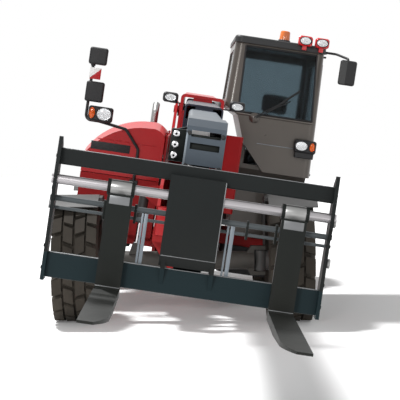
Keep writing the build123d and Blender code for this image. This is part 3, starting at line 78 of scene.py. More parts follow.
CARRIAGE = BOOM @ Matrix.Translation(TILT) @ Matrix.Rotation(-DIP, 4, "X") @ Matrix.Translation(-TILT)
print("lean", round(LEAN * 180 / pi, 2), "dip", round(DIP * 180 / pi, 2), "degrees")

# %% [markdown]
# Every finished piece goes through one function. It carries the mesh to its place, leaves the object itself at the
# origin, gives it a material and hangs it on the body that it moves with. Smooth shading by angle keeps sheet metal
# crisp while tubes stay round.

# %% Finishing a piece
SMOOTH = radians(32)


def select_only(piece):
    """Make a piece the only selected and active object."""
    bpy.ops.object.select_all(action="DESELECT")
    piece.select_set(True)
    bpy.context.view_layer.objects.active = piece


def finish_piece(piece, name, place, body, material):
    """Name a piece, carry it to its place, and hang it on its body with its finish."""
    select_only(piece)
    bpy.ops.object.transform_apply(location=True, rotation=True, scale=True)
    piece.data.transform(place)
    piece.name = name.replace(" ", "_")
    piece.data.name = piece.name
    bpy.ops.object.shade_smooth_by_angle(angle=SMOOTH)
    piece.data.materials.clear()
    piece.data.materials.append(material)
    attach(piece, body)
    return piece


def apply_modifiers(piece):
    """Apply a piece's modifiers in order."""
    select_only(piece)
    for modifier in list(piece.modifiers):
        bpy.ops.object.modifier_apply(modifier=modifier.name)


print("finished pieces are shaded smooth under", round(SMOOTH * 180 / pi), "degrees")

# %% [markdown]
# Paint on a working machine is never one flat colour. Each finish mixes a slow noise into the colour and the
# roughness and takes a fine bump from a second noise, and painted pieces gather dust low down. All of it is read in
# Object coordinates, so the pattern stays on the piece when it moves.

# %% Shader helpers
DUST = (0.30, 0.25, 0.20, 1)


def add_node(tree, kind, **values):
    """New shader node with some of its inputs or settings set."""
    node = tree.nodes.new(kind)
    for key, value in values.items():
        if key in node.inputs:
            node.inputs[key].default_value = value
        else:
            setattr(node, key, value)
    return node


def math_node(tree, operation, first, second):
    """Math node on two sockets or numbers."""
    node = tree.nodes.new("ShaderNodeMath")
    node.operation = operation
    for socket, value in zip(node.inputs, (first, second)):
        if isinstance(value, (int, float)):
            socket.default_value = value
        else:
            tree.links.new(value, socket)
    return node.outputs[0]


def mix_colours(tree, factor, first, second):
    """Mix of two colours, each a socket or four numbers."""
    node = tree.nodes.new("ShaderNodeMix")
    node.data_type = "RGBA"
    for socket, value in ((node.inputs[0], factor), (node.inputs[6], first), (node.inputs[7], second)):
        if isinstance(value, (int, float, tuple)):
            socket.default_value = value
        else:
            tree.links.new(value, socket)
    return node.outputs[2]


def finish(name, colour, rough, metal=0.0, coat=0.0, uneven=0.12, grain=260.0, bump=0.04, dust=0.0, dust_top=1.2,
           sheen=0.0, shine=0.5):
    """Uneven finish with fine grain, and dust that thins out towards dust_top above the ground."""
    material = bpy.data.materials.new(name)
    material.use_nodes = True
    tree = material.node_tree
    shader = tree.nodes["Principled BSDF"]
    shader.inputs["Metallic"].default_value = metal
    shader.inputs["Coat Weight"].default_value = coat
    shader.inputs["Coat Roughness"].default_value = 0.08
    shader.inputs["Sheen Weight"].default_value = sheen
    shader.inputs["Specular IOR Level"].default_value = shine
    place = add_node(tree, "ShaderNodeTexCoord").outputs["Object"]
    slow = add_node(tree, "ShaderNodeTexNoise", Scale=3.2, Detail=5.0, Roughness=0.6)
    fine = add_node(tree, "ShaderNodeTexNoise", Scale=grain, Detail=2.0)
    tree.links.new(place, slow.inputs["Vector"])
    tree.links.new(place, fine.inputs["Vector"])
    darker = tuple(c * (1 - 1.6 * uneven) for c in colour[:3]) + (1,)
    lighter = tuple(min(1, c * (1 + uneven)) for c in colour[:3]) + (1,)
    shade = mix_colours(tree, slow.outputs["Fac"], darker, lighter)
    if dust:
        split = add_node(tree, "ShaderNodeSeparateXYZ")
        tree.links.new(place, split.inputs[0])
        height = math_node(tree, "DIVIDE", split.outputs["Z"], dust_top)
        low = math_node(tree, "SUBTRACT", 1.15, height)
        patchy = math_node(tree, "MULTIPLY", low, slow.outputs["Fac"])
        amount = tree.nodes.new("ShaderNodeMath")
        amount.operation = "MULTIPLY"
        amount.use_clamp = True
        tree.links.new(patchy, amount.inputs[0])
        amount.inputs[1].default_value = dust
        shade = mix_colours(tree, amount.outputs[0], shade, DUST)
    tree.links.new(shade, shader.inputs["Base Color"])
    spread = math_node(tree, "MULTIPLY", slow.outputs["Fac"], 0.22)
    tree.links.new(math_node(tree, "ADD", spread, max(0.02, rough - 0.1)), shader.inputs["Roughness"])
    relief = add_node(tree, "ShaderNodeBump", Strength=bump, Distance=0.002)
    tree.links.new(fine.outputs["Fac"], relief.inputs["Height"])
    tree.links.new(relief.outputs["Normal"], shader.inputs["Normal"])
    return material


def clear(name, colour, rough=0.03, weight=1.0, ior=1.45):
    """Clear glass or plastic with faint smears."""
    material = finish(name, colour, rough, uneven=0.03, grain=40.0, bump=0.01)
    shader = material.node_tree.nodes["Principled BSDF"]
    shader.inputs["Transmission Weight"].default_value = weight
    shader.inputs["IOR"].default_value = ior
    return material


print("dust colour is", DUST[:3])

# %% [markdown]
# Each finish is then one line: its colour, its roughness and how uneven, shiny or dusty it is. The low red is darker,
# rougher and dustier than the hood's. Glass and lenses let light through with faint smears.

# %% Finishes
RED = finish("red paint", (0.42, 0.002, 0.005), 0.30, coat=0.18, uneven=0.12, dust=0.04, shine=0.25)
RED_LOW = finish("red frame paint", (0.30, 0.003, 0.005), 0.42, uneven=0.18, dust=0.12, shine=0.18)
CHAMPAGNE = finish("champagne paint", (0.066, 0.056, 0.047), 0.30, metal=0.4, coat=0.25, uneven=0.1, grain=900.0)
BLACK = finish("black steel paint", (0.0065, 0.0085, 0.0075), 0.50, uneven=0.25, bump=0.07, dust=0.09, shine=0.16)
GREY_BLACK = finish("dark grey paint", (0.020, 0.021, 0.022), 0.45, uneven=0.2, dust=0.2, shine=0.3)
NAVY = finish("navy paint", (0.012, 0.015, 0.030), 0.32, coat=0.15, uneven=0.2, shine=0.3)
STEEL_BLUE = finish("grey blue paint", (0.060, 0.078, 0.098), 0.4, uneven=0.2, shine=0.35)
CHROME = finish("polished steel", (0.62, 0.62, 0.63), 0.2, metal=1.0, uneven=0.05, bump=0.01)
STEEL = finish("worn steel", (0.30, 0.30, 0.295), 0.36, metal=1.0, uneven=0.2, bump=0.05)
IRON = finish("cast iron", (0.032, 0.032, 0.030), 0.55, uneven=0.3, grain=90.0, bump=0.25, dust=0.22, shine=0.25)
RUBBER = finish("tyre rubber", (0.014, 0.013, 0.011), 0.82, uneven=0.35, grain=150.0, bump=0.3, dust=0.22, dust_top=1.5,
                shine=0.15)
HOSE = finish("hose rubber", (0.010, 0.010, 0.011), 0.55, uneven=0.2, grain=400.0, bump=0.15, shine=0.3)
TRIM = finish("black plastic", (0.011, 0.011, 0.012), 0.5, uneven=0.12, grain=700.0, bump=0.12, shine=0.3)
GUARD = finish("grey plastic", (0.055, 0.056, 0.056), 0.55, uneven=0.15, grain=500.0, bump=0.1, dust=0.12, shine=0.3)
CLOTH = finish("seat cloth", (0.040, 0.040, 0.044), 0.9, uneven=0.15, grain=900.0, bump=0.5, sheen=0.4)
SILVER = finish("lamp reflector", (0.82, 0.82, 0.83), 0.16, metal=1.0, uneven=0.04, bump=0.01)
ORANGE = clear("orange lens", (0.95, 0.20, 0.01, 1), 0.12, 0.55)
RED_LENS = clear("red lens", (0.70, 0.01, 0.01, 1), 0.12, 0.5)
LENS = clear("clear lens", (0.96, 0.97, 0.98, 1), 0.04, 0.85)
WINDOW = clear("window glass", (0.25, 0.31, 0.34, 1), 0.02, 1.0, 1.2)
MIRROR = finish("mirror glass", (0.75, 0.78, 0.80), 0.06, metal=1.0, uneven=0.02, bump=0.0)
PALE = finish("pale worn paint", (0.20, 0.23, 0.26), 0.42, metal=0.3, uneven=0.2)
# Pale finish for strips painted along edges and bends of the carriage and the forks as highlights.
PAINTED_HIGHLIGHT = finish("painted highlight", (0.17, 0.175, 0.18), 0.38, metal=0.5, uneven=0.2)
AMBER = finish("amber lens", (0.78, 0.17, 0.01), 0.14, coat=0.6, uneven=0.06)
WHITE = finish("white plate", (0.78, 0.78, 0.76), 0.4, uneven=0.05)
print(len(bpy.data.materials), "finishes")

# %% [markdown]
# The machine stands on a pale floor under soft studio lamps. The floor and the backdrop are white for the camera and
# for glossy and clear surfaces, so no lamp has to be turned up for them, while the floor still takes the shadow.

# %% Camera
CAMERA_PLACE = Vector((0.035, -12.824, 1.843))
CAMERA_ASIDE, CAMERA_DOWN = radians(0.5), radians(3.45)
camera_data = bpy.data.cameras.new("camera")
camera_data.lens = 130.0
camera_data.sensor_width = 36.0
camera = bpy.data.objects.new("camera", camera_data)
bpy.context.scene.collection.objects.link(camera)
camera.location = GROUND @ CAMERA_PLACE
aim = Vector((sin(CAMERA_ASIDE), 1.0, -sin(CAMERA_DOWN)))
camera.rotation_euler = aim.to_track_quat("-Z", "Y").to_euler()
bpy.context.scene.camera = camera
bpy.context.scene.view_settings.view_transform = "Standard"
print("camera at", [round(value, 3) for value in camera.location])

# %% Floor and backdrop
FADE_FROM, FADE_TO = 5.5, 10.0  # distances from the middle between which the floor turns white
NEAR_GLOW = 0.10
AMBIENT = 0.38  # light of the backdrop on the machine


def seen_white(tree, strength):
    """Number that is strength for camera, glossy and clear rays and nought for all other light."""
    path = tree.nodes.new("ShaderNodeLightPath")
    seen = math_node(tree, "MAXIMUM", path.outputs["Is Camera Ray"], path.outputs["Is Glossy Ray"])
    seen = math_node(tree, "MAXIMUM", seen, path.outputs["Is Transmission Ray"])
    return math_node(tree, "MULTIPLY", seen, strength)


def make_floor():
    """Large pale floor that keeps the shadow near the machine and fades to white far away."""
    bpy.ops.mesh.primitive_plane_add(size=60, location=(0, 0, -0.0005))
    floor = bpy.context.active_object
    floor.name = "floor"
    material = bpy.data.materials.new("floor")
    material.use_nodes = True
    tree = material.node_tree
    shader = tree.nodes["Principled BSDF"]
    shader.inputs["Base Color"].default_value = (0.86, 0.86, 0.86, 1)
    shader.inputs["Roughness"].default_value = 0.9
    shader.inputs["Emission Color"].default_value = (1, 1, 1, 1)
    place = add_node(tree, "ShaderNodeTexCoord").outputs["Object"]
    away = add_node(tree, "ShaderNodeVectorMath", operation="LENGTH")
    tree.links.new(place, away.inputs[0])
    glow = add_node(tree, "ShaderNodeMapRange")
    for key, value in (("From Min", FADE_FROM), ("From Max", FADE_TO), ("To Min", NEAR_GLOW), ("To Max", 1.0)):
        glow.inputs[key].default_value = value
    tree.links.new(away.outputs["Value"], glow.inputs["Value"])
    seen = seen_white(tree, 1.0)
    tree.links.new(math_node(tree, "MULTIPLY", seen, glow.outputs["Result"]), shader.inputs["Emission Strength"])
    floor.data.materials.append(material)


make_floor()
world = bpy.data.worlds.new("world")
bpy.context.scene.world = world
world.use_nodes = True
sky = world.node_tree.nodes["Background"]
sky.inputs["Color"].default_value = (1, 1, 1, 1)
lit = seen_white(world.node_tree, 1.0 - AMBIENT)
world.node_tree.links.new(math_node(world.node_tree, "ADD", lit, AMBIENT), sky.inputs["Strength"])
print("floor and backdrop are white for the camera")

# %% Studio lamps
LAMPS = (  # name, place, aim, size in metres, power in watts
    ("high key", (-3.2, 3.5, 10.0), (0.2, -3.0, 0.4), 1.1, 1500),
    ("front", (-3.6, -12.0, 6.0), (0, -1.0, 1.2), 2.2, 560),
    ("fill", (6.5, -9.5, 3.5), (0.3, 1.0, 1.2), 4.0, 130),
)
for name, place, target, size, power in LAMPS:
    lamp_data = bpy.data.lights.new(name, "AREA")
    lamp_data.energy = power
    lamp_data.size = size
    studio_lamp = bpy.data.objects.new(name, lamp_data)
    studio_lamp.location = place
    studio_lamp.rotation_euler = (Vector(target) - Vector(place)).to_track_quat("-Z", "Y").to_euler()
    bpy.context.scene.collection.objects.link(studio_lamp)
print(len(LAMPS), "studio lamps")

# %% [markdown]
# Most CAD nodes already have the right shape and only need their finish. Two of them have more than one. The
# carriage has black plates, a dark teal lower beam, two grey bars and a bare steel shaft, and the roof lamps are red
# but for the amber beacon. These finishes pick their colour by place, measured in the piece's own upright frame.

# %% Finish of the carriage
SHAFT = Vector((0, TILT.y - 0.2095, TILT.z + 0.123))
THICK_BAR = Vector((0, TILT.y - 0.157, TILT.z + 0.026))
THIN_BAR = Vector((0, TILT.y - 0.157, TILT.z - 0.020))
SHAFT_R, THICK_BAR_R, THIN_BAR_R = 0.0255, 0.0150, 0.0090
LOWER_BEAM_TOP = TILT.z - 0.240


def upright(tree, place, axis):
    """Coordinate along an axis of a group's upright frame, as a socket."""
    along = place.to_3x3() @ Vector(axis)
    dot = add_node(tree, "ShaderNodeVectorMath", operation="DOT_PRODUCT")
    tree.links.new(tree.nodes["Texture Coordinate"].outputs["Object"], dot.inputs[0])
    dot.inputs[1].default_value = along
    return math_node(tree, "SUBTRACT", dot.outputs["Value"], (place @ Vector((0, 0, 0))).dot(along))


def inside_rod(tree, y, z, spot, radius):
    """One within radius of a rod that runs across the machine through spot, nought elsewhere."""
    dy = math_node(tree, "SUBTRACT", y, spot.y)
    dz = math_node(tree, "SUBTRACT", z, spot.z)
    squared = math_node(tree, "ADD", math_node(tree, "MULTIPLY", dy, dy), math_node(tree, "MULTIPLY", dz, dz))
    return math_node(tree, "LESS_THAN", squared, radius ** 2)


def carriage_finish():
    """Black paint with a teal lower beam, grey bars and a bare steel shaft."""
    material = finish("carriage paint", (0.0065, 0.0085, 0.0085), 0.48, uneven=0.3, bump=0.07, dust=0.08, shine=0.16)
    tree = material.node_tree
    shader = tree.nodes["Principled BSDF"]
    y, z = upright(tree, CARRIAGE, (0, 1, 0)), upright(tree, CARRIAGE, (0, 0, 1))
    bare = inside_rod(tree, y, z, SHAFT, SHAFT_R)
    thick, thin = inside_rod(tree, y, z, THICK_BAR, THICK_BAR_R), inside_rod(tree, y, z, THIN_BAR, THIN_BAR_R)
    low = math_node(tree, "LESS_THAN", z, LOWER_BEAM_TOP)
    paint = shader.inputs["Base Color"].links[0].from_socket
    shade = mix_colours(tree, low, paint, (0.005, 0.014, 0.017, 1))
    shade = mix_colours(tree, math_node(tree, "MAXIMUM", thick, thin), shade, (0.075, 0.085, 0.090, 1))
    tree.links.new(mix_colours(tree, bare, shade, (0.36, 0.345, 0.355, 1)), shader.inputs["Base Color"])
    tree.links.new(bare, shader.inputs["Metallic"])
    rough = shader.inputs["Roughness"].links[0].from_socket
    polish = math_node(tree, "MULTIPLY", bare, 0.16)
    tree.links.new(math_node(tree, "SUBTRACT", rough, polish), shader.inputs["Roughness"])
    return material


CARRIAGE_PAINT = carriage_finish()
print("made", CARRIAGE_PAINT.name)

# %% Finish of the roof lamps and the beacon
BEACON_SIDE = 0.70  # X between the beacon and the roof lamps


def roof_lamp_finish():
    """Red lamp housings, and amber where the beacon stands."""
    material = finish("roof lamp paint", (0.56, 0.006, 0.010), 0.26, coat=0.5, uneven=0.08)
    tree = material.node_tree
    shader = tree.nodes["Principled BSDF"]
    beacon_side = math_node(tree, "LESS_THAN", upright(tree, CHASSIS, (1, 0, 0)), BEACON_SIDE)
    paint = shader.inputs["Base Color"].links[0].from_socket
    tree.links.new(mix_colours(tree, beacon_side, paint, (0.78, 0.17, 0.01, 1)), shader.inputs["Base Color"])
    return material


ROOF_LAMP_PAINT = roof_lamp_finish()
print("made", ROOF_LAMP_PAINT.name)

# %% [markdown]
# Every node of the solid model gets its finish from one table of names, so that a colour is changed in one place.
# Only the material changes: the shape stays as the solid model has it.

# %% Finishes of the CAD nodes
NODE_FINISH = {
    "front_axle": IRON, "rear_axle": IRON, "chassis_frame": RED_LOW,
    "frame_side_right": RED_LOW, "frame_side_left": RED_LOW, "counterweight": GREY_BLACK,
    "tow_hitch": GREY_BLACK, "engine_block": IRON, "engine_bay": RED_LOW, "engine_hood": RED, "cab_shell": CHAMPAGNE,
    "cab_glass": WINDOW, "cab_door": CHAMPAGNE, "door_glass": WINDOW, "cab_roof": GREY_BLACK, "seat_base": TRIM,
    "seat_pads": CLOTH, "dashboard": TRIM, "steering_wheel": TRIM, "fuel_tank": TRIM, "right_mast": TRIM,
    "left_mirror": TRIM, "left_headlamp": TRIM, "roof_lights": ROOF_LAMP_PAINT, "exhaust": STEEL,
    "rear_lights": RED_LENS, "boom_outer": RED, "boom_middle": NAVY, "boom_inner": STEEL_BLUE, "boom_lights": TRIM,
    "fork_carriage": CARRIAGE_PAINT, "fork_right": BLACK, "fork_left": BLACK, "lift_barrel": GREY_BLACK,
    "lift_rod": CHROME, "tilt_barrel": GREY_BLACK, "tilt_rod": CHROME, "level_barrel": GREY_BLACK,
    "level_rod": CHROME,
}
for corner in ("front_left", "front_right", "rear_left", "rear_right"):
    NODE_FINISH["tyre_" + corner] = RUBBER
    NODE_FINISH["wheel_" + corner] = RED_LOW
    NODE_FINISH["knuckle_" + corner] = GUARD
for node, material in NODE_FINISH.items():
    solid = frame["nodes"][node]
    solid.data.materials.clear()
    solid.data.materials.append(material)
print(len(NODE_FINISH), "nodes have their finish")

# %% [markdown]
# The carriage is welded plate. Thin pale strips along the beams, down the centre plate and along its bend are painted
# highlights on its edges. Each strip is a low block: a cube set to its size, with a bevel on all its edges, so that
# its rounded edges catch the light.

# %% Blocks and strips
def block(low, high, bevel=0.004, segments=3):
    """Block between two corners, its edges rounded."""
    low, high = Vector(low), Vector(high)
    bpy.ops.mesh.primitive_cube_add(size=1, location=(low + high) / 2)
    piece = bpy.context.active_object
    piece.scale = high - low
    bpy.ops.object.transform_apply(location=True, rotation=True, scale=True)
    edge = piece.modifiers.new("edges", "BEVEL")
    edge.width = bevel
    edge.segments = segments
    apply_modifiers(piece)
    return piece


def strip(low, high, name, place, body, material, bevel=0.0012):
    """Thin finished block."""
    return finish_piece(block(low, high, bevel, 2), name, place, body, material)


print("blocks and strips have rounded edges")

# %% Edges and struts of the carriage
FRONT = TILT.y - 0.187
LOWEST = TILT.z - 0.381
SIDES = (-0.758, 0.634)
FORKS = {"fork_right": -0.423, "fork_left": 0.442}
# Pale strips painted along the top edges of both beams as highlights.
for label, y, z in (("lower", FRONT, LOWEST + 0.141), ("upper", FRONT - 0.010, TILT.z + 0.278)):
    strip((SIDES[0] + 0.02, y - 0.0012, z - 0.0025), (SIDES[1] - 0.02, y + 0.004, z + 0.0012),
          label + " beam highlight", CARRIAGE, "carriage", PAINTED_HIGHLIGHT, 0.0008)
PLATE_TOP = TILT.z + 0.227
# Pale strips painted down the centre plate's edge and along its bend as highlights.
strip((0.0825, FRONT - 0.0632, LOWEST + 0.207), (0.087, FRONT - 0.056, PLATE_TOP - 0.004),
      "centre plate highlight", CARRIAGE, "carriage", PAINTED_HIGHLIGHT)
strip((-0.186, FRONT - 0.0636, LOWEST + 0.207), (0.082, FRONT - 0.060, LOWEST + 0.2105),
      "bend highlight", CARRIAGE, "carriage", PAINTED_HIGHLIGHT)
for x in (-0.182, 0.062):
    strip((x, FRONT + 0.008, LOWEST + 0.085), (x + 0.022, FRONT + 0.018, LOWEST + 0.158),
          "plate tab", CARRIAGE, "carriage", BLACK)
for x, width in ((-0.306, 0.010), (-0.292, 0.018), (0.122, 0.010), (0.140, 0.020)):
    strip((x, FRONT + 0.018, LOWEST + 0.120), (x + width, FRONT + 0.026, TILT.z + 0.012),
          "upright strut", CARRIAGE, "carriage", PALE)
for x in (-0.500, -0.345, 0.215, 0.360):
    strip((x, FRONT + 0.016, TILT.z - 0.045), (x + 0.012, FRONT + 0.046, TILT.z + 0.05),
          "bar clip", CARRIAGE, "carriage", BLACK)
print("beams, centre plate, struts and clips dressed")

# %% [markdown]
# A fork hangs on the shaft by a bored eye. The eye is turned bright by sliding, with a dark spacer at each end. Pale
# strips on the shank below it and along the heel are painted highlights. The round pieces are turned: half of the
# section is drawn as a profile and spun round the axis, as on a lathe.

# %% Fork collars
def lathe(profile, start, direction, sides=32):
    """Turned piece: a profile of (distance along the axis, radius) spun round an axis from start."""
    mesh = bpy.data.meshes.new("turned")
    mesh.from_pydata([(r, 0, a) for a, r in profile], [(i, i + 1) for i in range(len(profile) - 1)], [])
    piece = bpy.data.objects.new("turned", mesh)
    bpy.context.scene.collection.objects.link(piece)
    select_only(piece)
    bpy.ops.object.mode_set(mode="EDIT")
    bpy.ops.mesh.select_all(action="SELECT")
    bpy.ops.mesh.spin(steps=sides, angle=2 * pi, center=(0, 0, 0), axis=(0, 0, 1))
    bpy.ops.mesh.select_all(action="SELECT")
    bpy.ops.mesh.remove_doubles(threshold=0.00005)
    bpy.ops.mesh.normals_make_consistent(inside=False)
    bpy.ops.object.mode_set(mode="OBJECT")
    turn = Vector(direction).to_track_quat("Z", "Y").to_matrix().to_4x4()
    piece.data.transform(Matrix.Translation(Vector(start)) @ turn)
    return piece


for fork, x in FORKS.items():
    sleeve = lathe([(0, 0.0245), (0, 0.0372), (0.004, 0.0385), (0.098, 0.0385), (0.102, 0.0372), (0.102, 0.0245)],
                   (x - 0.051, SHAFT.y, SHAFT.z), (1, 0, 0), 40)
    finish_piece(sleeve, fork + " collar", CARRIAGE, fork, STEEL)
    for end in (-0.068, 0.054):
        ring = lathe([(0, 0.0245), (0, 0.040), (0.014, 0.040), (0.014, 0.0245)],
                     (x + end, SHAFT.y, SHAFT.z), (1, 0, 0), 40)
        finish_piece(ring, fork + " spacer", CARRIAGE, fork, BLACK)
    # Pale strips painted on the shank below the eye and along the heel as highlights.
    strip((x - 0.050, FRONT - 0.0465, SHAFT.z - 0.082), (x + 0.050, FRONT - 0.044, SHAFT.z - 0.040),
          fork + " shank highlight", CARRIAGE, fork, PAINTED_HIGHLIGHT)
    strip((x - 0.061, FRONT - 0.0475, LOWEST + 0.010), (x + 0.061, FRONT - 0.043, LOWEST + 0.016),
          fork + " heel line", CARRIAGE, fork, PAINTED_HIGHLIGHT)
print(len(FORKS), "forks have collars and spacers")

# %% [markdown]
# The side plates are bolted to the beams and carry rollers that guide an attachment. A bolt is a washer and a
# six-sided head in one short lathe piece each, so one small function makes them for the whole machine.

# %% Bolts
def join(pieces):
    """Join several pieces into one and return it."""
    bpy.ops.object.select_all(action="DESELECT")
    for piece in pieces:
        piece.select_set(True)
    bpy.context.view_layer.objects.active = pieces[0]
    bpy.ops.object.join()
    return bpy.context.view_layer.objects.active


def bolt(spot, direction, size):
    """Washer and hexagon head standing on a face at spot."""
    washer = lathe([(0, 0), (0, size * 1.15), (size * 0.16, size * 1.12), (size * 0.16, 0)], spot, direction, 20)
    head = lathe([(0, 0), (0, size * 0.86), (size * 0.55, size * 0.86), (size * 0.66, size * 0.66), (size * 0.66, 0)],
                 Vector(spot) + Vector(direction) * size * 0.15, direction, 6)
    return join([washer, head])


def bolts(spots, direction, size, name, place, body, material):
    """Several bolts as one piece."""
    return finish_piece(join([bolt(s, direction, size) for s in spots]), name, place, body, material)


for side, x, out in (("right", SIDES[0], -1), ("left", SIDES[1], 1)):
    spots = [(x, FRONT + 0.03, TILT.z + dz) for dz in (0.235, 0.075, -0.215, -0.325)]
    bolts(spots, (out, 0, 0), 0.011, side + " plate bolts", CARRIAGE, "carriage", BLACK)
for z in (SHAFT.z - 0.02, TILT.z - 0.10):
    roller = lathe([(0, 0.006), (0, 0.020), (0.004, 0.024), (0.012, 0.024), (0.014, 0.020), (0.014, 0.006)],
                   (SIDES[1], FRONT - 0.02, z), (1, 0, 0), 28)
    finish_piece(roller, "guide roller", CARRIAGE, "carriage", STEEL)
print("side plates bolted")

# %% [markdown]
# The boom head ends in a front plate with a window, held by four bolts.

# %% Front plate of the boom head
NOSE = TILT.y - 0.030
HEAD_TOP = PIVOT.z + 0.101
bolts([(PIVOT.x + dx, NOSE, HEAD_TOP + dz) for dx in (-0.086, 0.086) for dz in (-0.040, -0.205)], (0, -1, 0), 0.011,
      "head plate bolts", BOOM, "boom_inner", GREY_BLACK)
# A black sheet just behind the window is painted shade for the dark inside of the boom head.
strip((PIVOT.x - 0.080, NOSE + 0.020, HEAD_TOP - 0.165), (PIVOT.x + 0.080, NOSE + 0.024, HEAD_TOP - 0.045),
      "window shade sheet", BOOM, "boom_inner", BLACK)
strip((PIVOT.x - 0.100, NOSE - 0.003, HEAD_TOP - 0.228), (PIVOT.x - 0.090, NOSE + 0.003, HEAD_TOP - 0.040),
      "head plate rim", BOOM, "boom_inner", PALE)
strip((PIVOT.x - 0.099, NOSE + 0.070, HEAD_TOP - 0.001), (PIVOT.x + 0.099, -4.96, HEAD_TOP + 0.003),
      "head top", BOOM, "boom_inner", NAVY)
print("front plate of the boom head dressed")

# %% [markdown]
# Beside the front plate a block carries the couplings for an attachment. Their hoses are short and end on the head,
# because the section behind slides up to it. A hose is a curve through a few points, given its thickness by the
# curve itself and then turned into a mesh.

# %% Couplings and their hoses
COUPLING_TOP, COUPLING_STEP = HEAD_TOP - 0.055, 0.055


def pipe(points, radius, sides=8):
    """Round pipe or fixed hose along a smooth line through a few points."""
    line = bpy.data.curves.new("line", "CURVE")
    line.dimensions = "3D"
    spline = line.splines.new("NURBS")
    spline.points.add(len(points) - 1)
    for point, place in zip(spline.points, points):
        point.co = (*place, 1)
    spline.order_u = 3
    spline.use_endpoint_u = True
    spline.resolution_u = 8
    line.bevel_depth = radius
    line.bevel_resolution = max(1, sides // 4 - 1)
    line.use_fill_caps = True
    piece = bpy.data.objects.new("pipe", line)
    bpy.context.scene.collection.objects.link(piece)
    select_only(piece)
    bpy.ops.object.convert(target="MESH")
    return bpy.context.active_object


for k in range(3):
    z = COUPLING_TOP - COUPLING_STEP * k
    tap = lathe([(0, 0.006), (0, 0.017), (0.018, 0.017), (0.020, 0.012), (0.040, 0.012), (0.040, 0.006)],
                (PIVOT.x - 0.150, NOSE + 0.055, z), (0, -1, 0), 20)
    finish_piece(tap, "coupling", BOOM, "boom_inner", CHROME)
strip((PIVOT.x - 0.176, NOSE + 0.052, HEAD_TOP - 0.195), (PIVOT.x - 0.100, NOSE + 0.092, HEAD_TOP - 0.030),
      "coupling block", BOOM, "boom_inner", BLACK, 0.004)
for k, x in enumerate((-0.165, -0.150, -0.135)):
    z = COUPLING_TOP - COUPLING_STEP * k
    hose = pipe([(PIVOT.x + x, NOSE + 0.090, z), (PIVOT.x + x, NOSE + 0.140, z + 0.01),
                 (PIVOT.x - 0.112, NOSE + 0.200, z + 0.03), (PIVOT.x - 0.094, NOSE + 0.215, z + 0.03)], 0.007)
    finish_piece(hose, "head hose", BOOM, "boom_inner", HOSE)
print("couplings have their hoses")

# %% [markdown]
# Lamps are a reflector behind a clear lens in a dark rim. A lens is a flattened dome: an ellipse of the lamp's size,
# raised towards the middle, so that it shows a highlight as moulded plastic does.

# %% Lamps
def dome(spot, direction, wide, high, rise, sides=40):
    """Shallow dome of elliptical outline standing on a face at spot, facing along -Y or Y."""
    rings = [(rise * sin(radians(a)), cos(radians(a))) for a in (0, 18, 36, 54, 72, 90)]
    piece = lathe([(0, 0)] + rings, (0, 0, 0), direction, sides)
    piece.data.transform(Matrix.Translation(Vector(spot)) @ Matrix.Diagonal((wide / 2, 1, high / 2, 1)))
    return piece


def rim(spot, direction, wide, high, deep, sides=40):
    """Elliptical rim round a lens."""
    ring = [(0, 0.9), (0, 1.12), (deep, 1.12), (deep * 1.2, 1.05), (deep, 0.96), (deep * 0.3, 0.9)]
    piece = lathe(ring, (0, 0, 0), direction, sides)
    piece.data.transform(Matrix.Translation(Vector(spot)) @ Matrix.Diagonal((wide / 2, 1, high / 2, 1)))
    return piece


def lamp(name, spot, wide, high, place, body, lens=None, out=-1):
    """Reflector, lens and rim on a lamp's face."""
    facing = (0, out, 0)
    x, y, z = spot
    back = dome((x, y, z), facing, wide * 0.96, high * 0.96, 0.002)
    finish_piece(back, name + " reflector", place, body, SILVER)
    front = dome((x, y + out * 0.004, z), facing, wide, high, 0.012)
    finish_piece(front, name + " lens", place, body, lens or LENS)
    edge = rim((x, y + out * 0.0005, z), facing, wide, high, 0.008)
    finish_piece(edge, name + " rim", place, body, TRIM)


OUTER_FRONT = PIVOT.y - 4.108
for side, x in (("right", -0.312), ("left", 0.246)):
    lamp(side + " work lamp", (x, OUTER_FRONT - 0.021, PIVOT.z + 0.168), 0.098, 0.058, BOOM, "boom_outer")
for side, x in (("inner", 0.806), ("outer", 0.958)):
    lamp(side + " roof lamp", (x, 0.2395, 2.632), 0.100, 0.066, CHASSIS, "chassis")
lamp("left headlamp", (0.905, 0.1895, 1.690), 0.112, 0.084, CHASSIS, "chassis")
lamp("left indicator", (1.002, 0.1895, 1.690), 0.048, 0.080, CHASSIS, "chassis", ORANGE)
lamp("right headlamp", (-0.918, 0.5695, 1.710), 0.142, 0.118, CHASSIS, "chassis")
lamp("right indicator", (-1.030, 0.5695, 1.710), 0.056, 0.110, CHASSIS, "chassis", ORANGE)
for side, x in (("right", -0.500), ("left", 0.410)):
    lamp(side + " brake lamp", (x, 3.6505, 1.462), 0.084, 0.058, CHASSIS, "chassis", RED_LENS, 1)
    lamp(side + " rear indicator", (x, 3.6505, 1.388), 0.084, 0.052, CHASSIS, "chassis", ORANGE, 1)
print("lamps have reflectors, lenses and rims")

# %% [markdown]
# The beacon is an orange dome on a dark foot. It is turned as one profile, because every section of it is round.

# %% Beacon
ROOF = 2.607
beacon = lathe([(0.022, 0), (0.022, 0.050), (0.090, 0.0455), (0.099, 0.0430), (0.1040, 0.0370), (0.1040, 0)],
               (0.632, 0.560, ROOF), (0, 0, 1), 36)
finish_piece(beacon, "beacon dome", CHASSIS, "chassis", AMBER)
foot = lathe([(0.0005, 0.02), (0.0005, 0.058), (0.018, 0.056), (0.024, 0.049), (0.024, 0.02)],
             (0.632, 0.560, ROOF), (0, 0, 1), 36)
finish_piece(foot, "beacon foot", CHASSIS, "chassis", TRIM)
print("beacon stands on the roof")

# %% [markdown]
# Mirrors face the driver, so their glass is on the side away from the camera. The glass is a thin strip just proud of
# the housing.

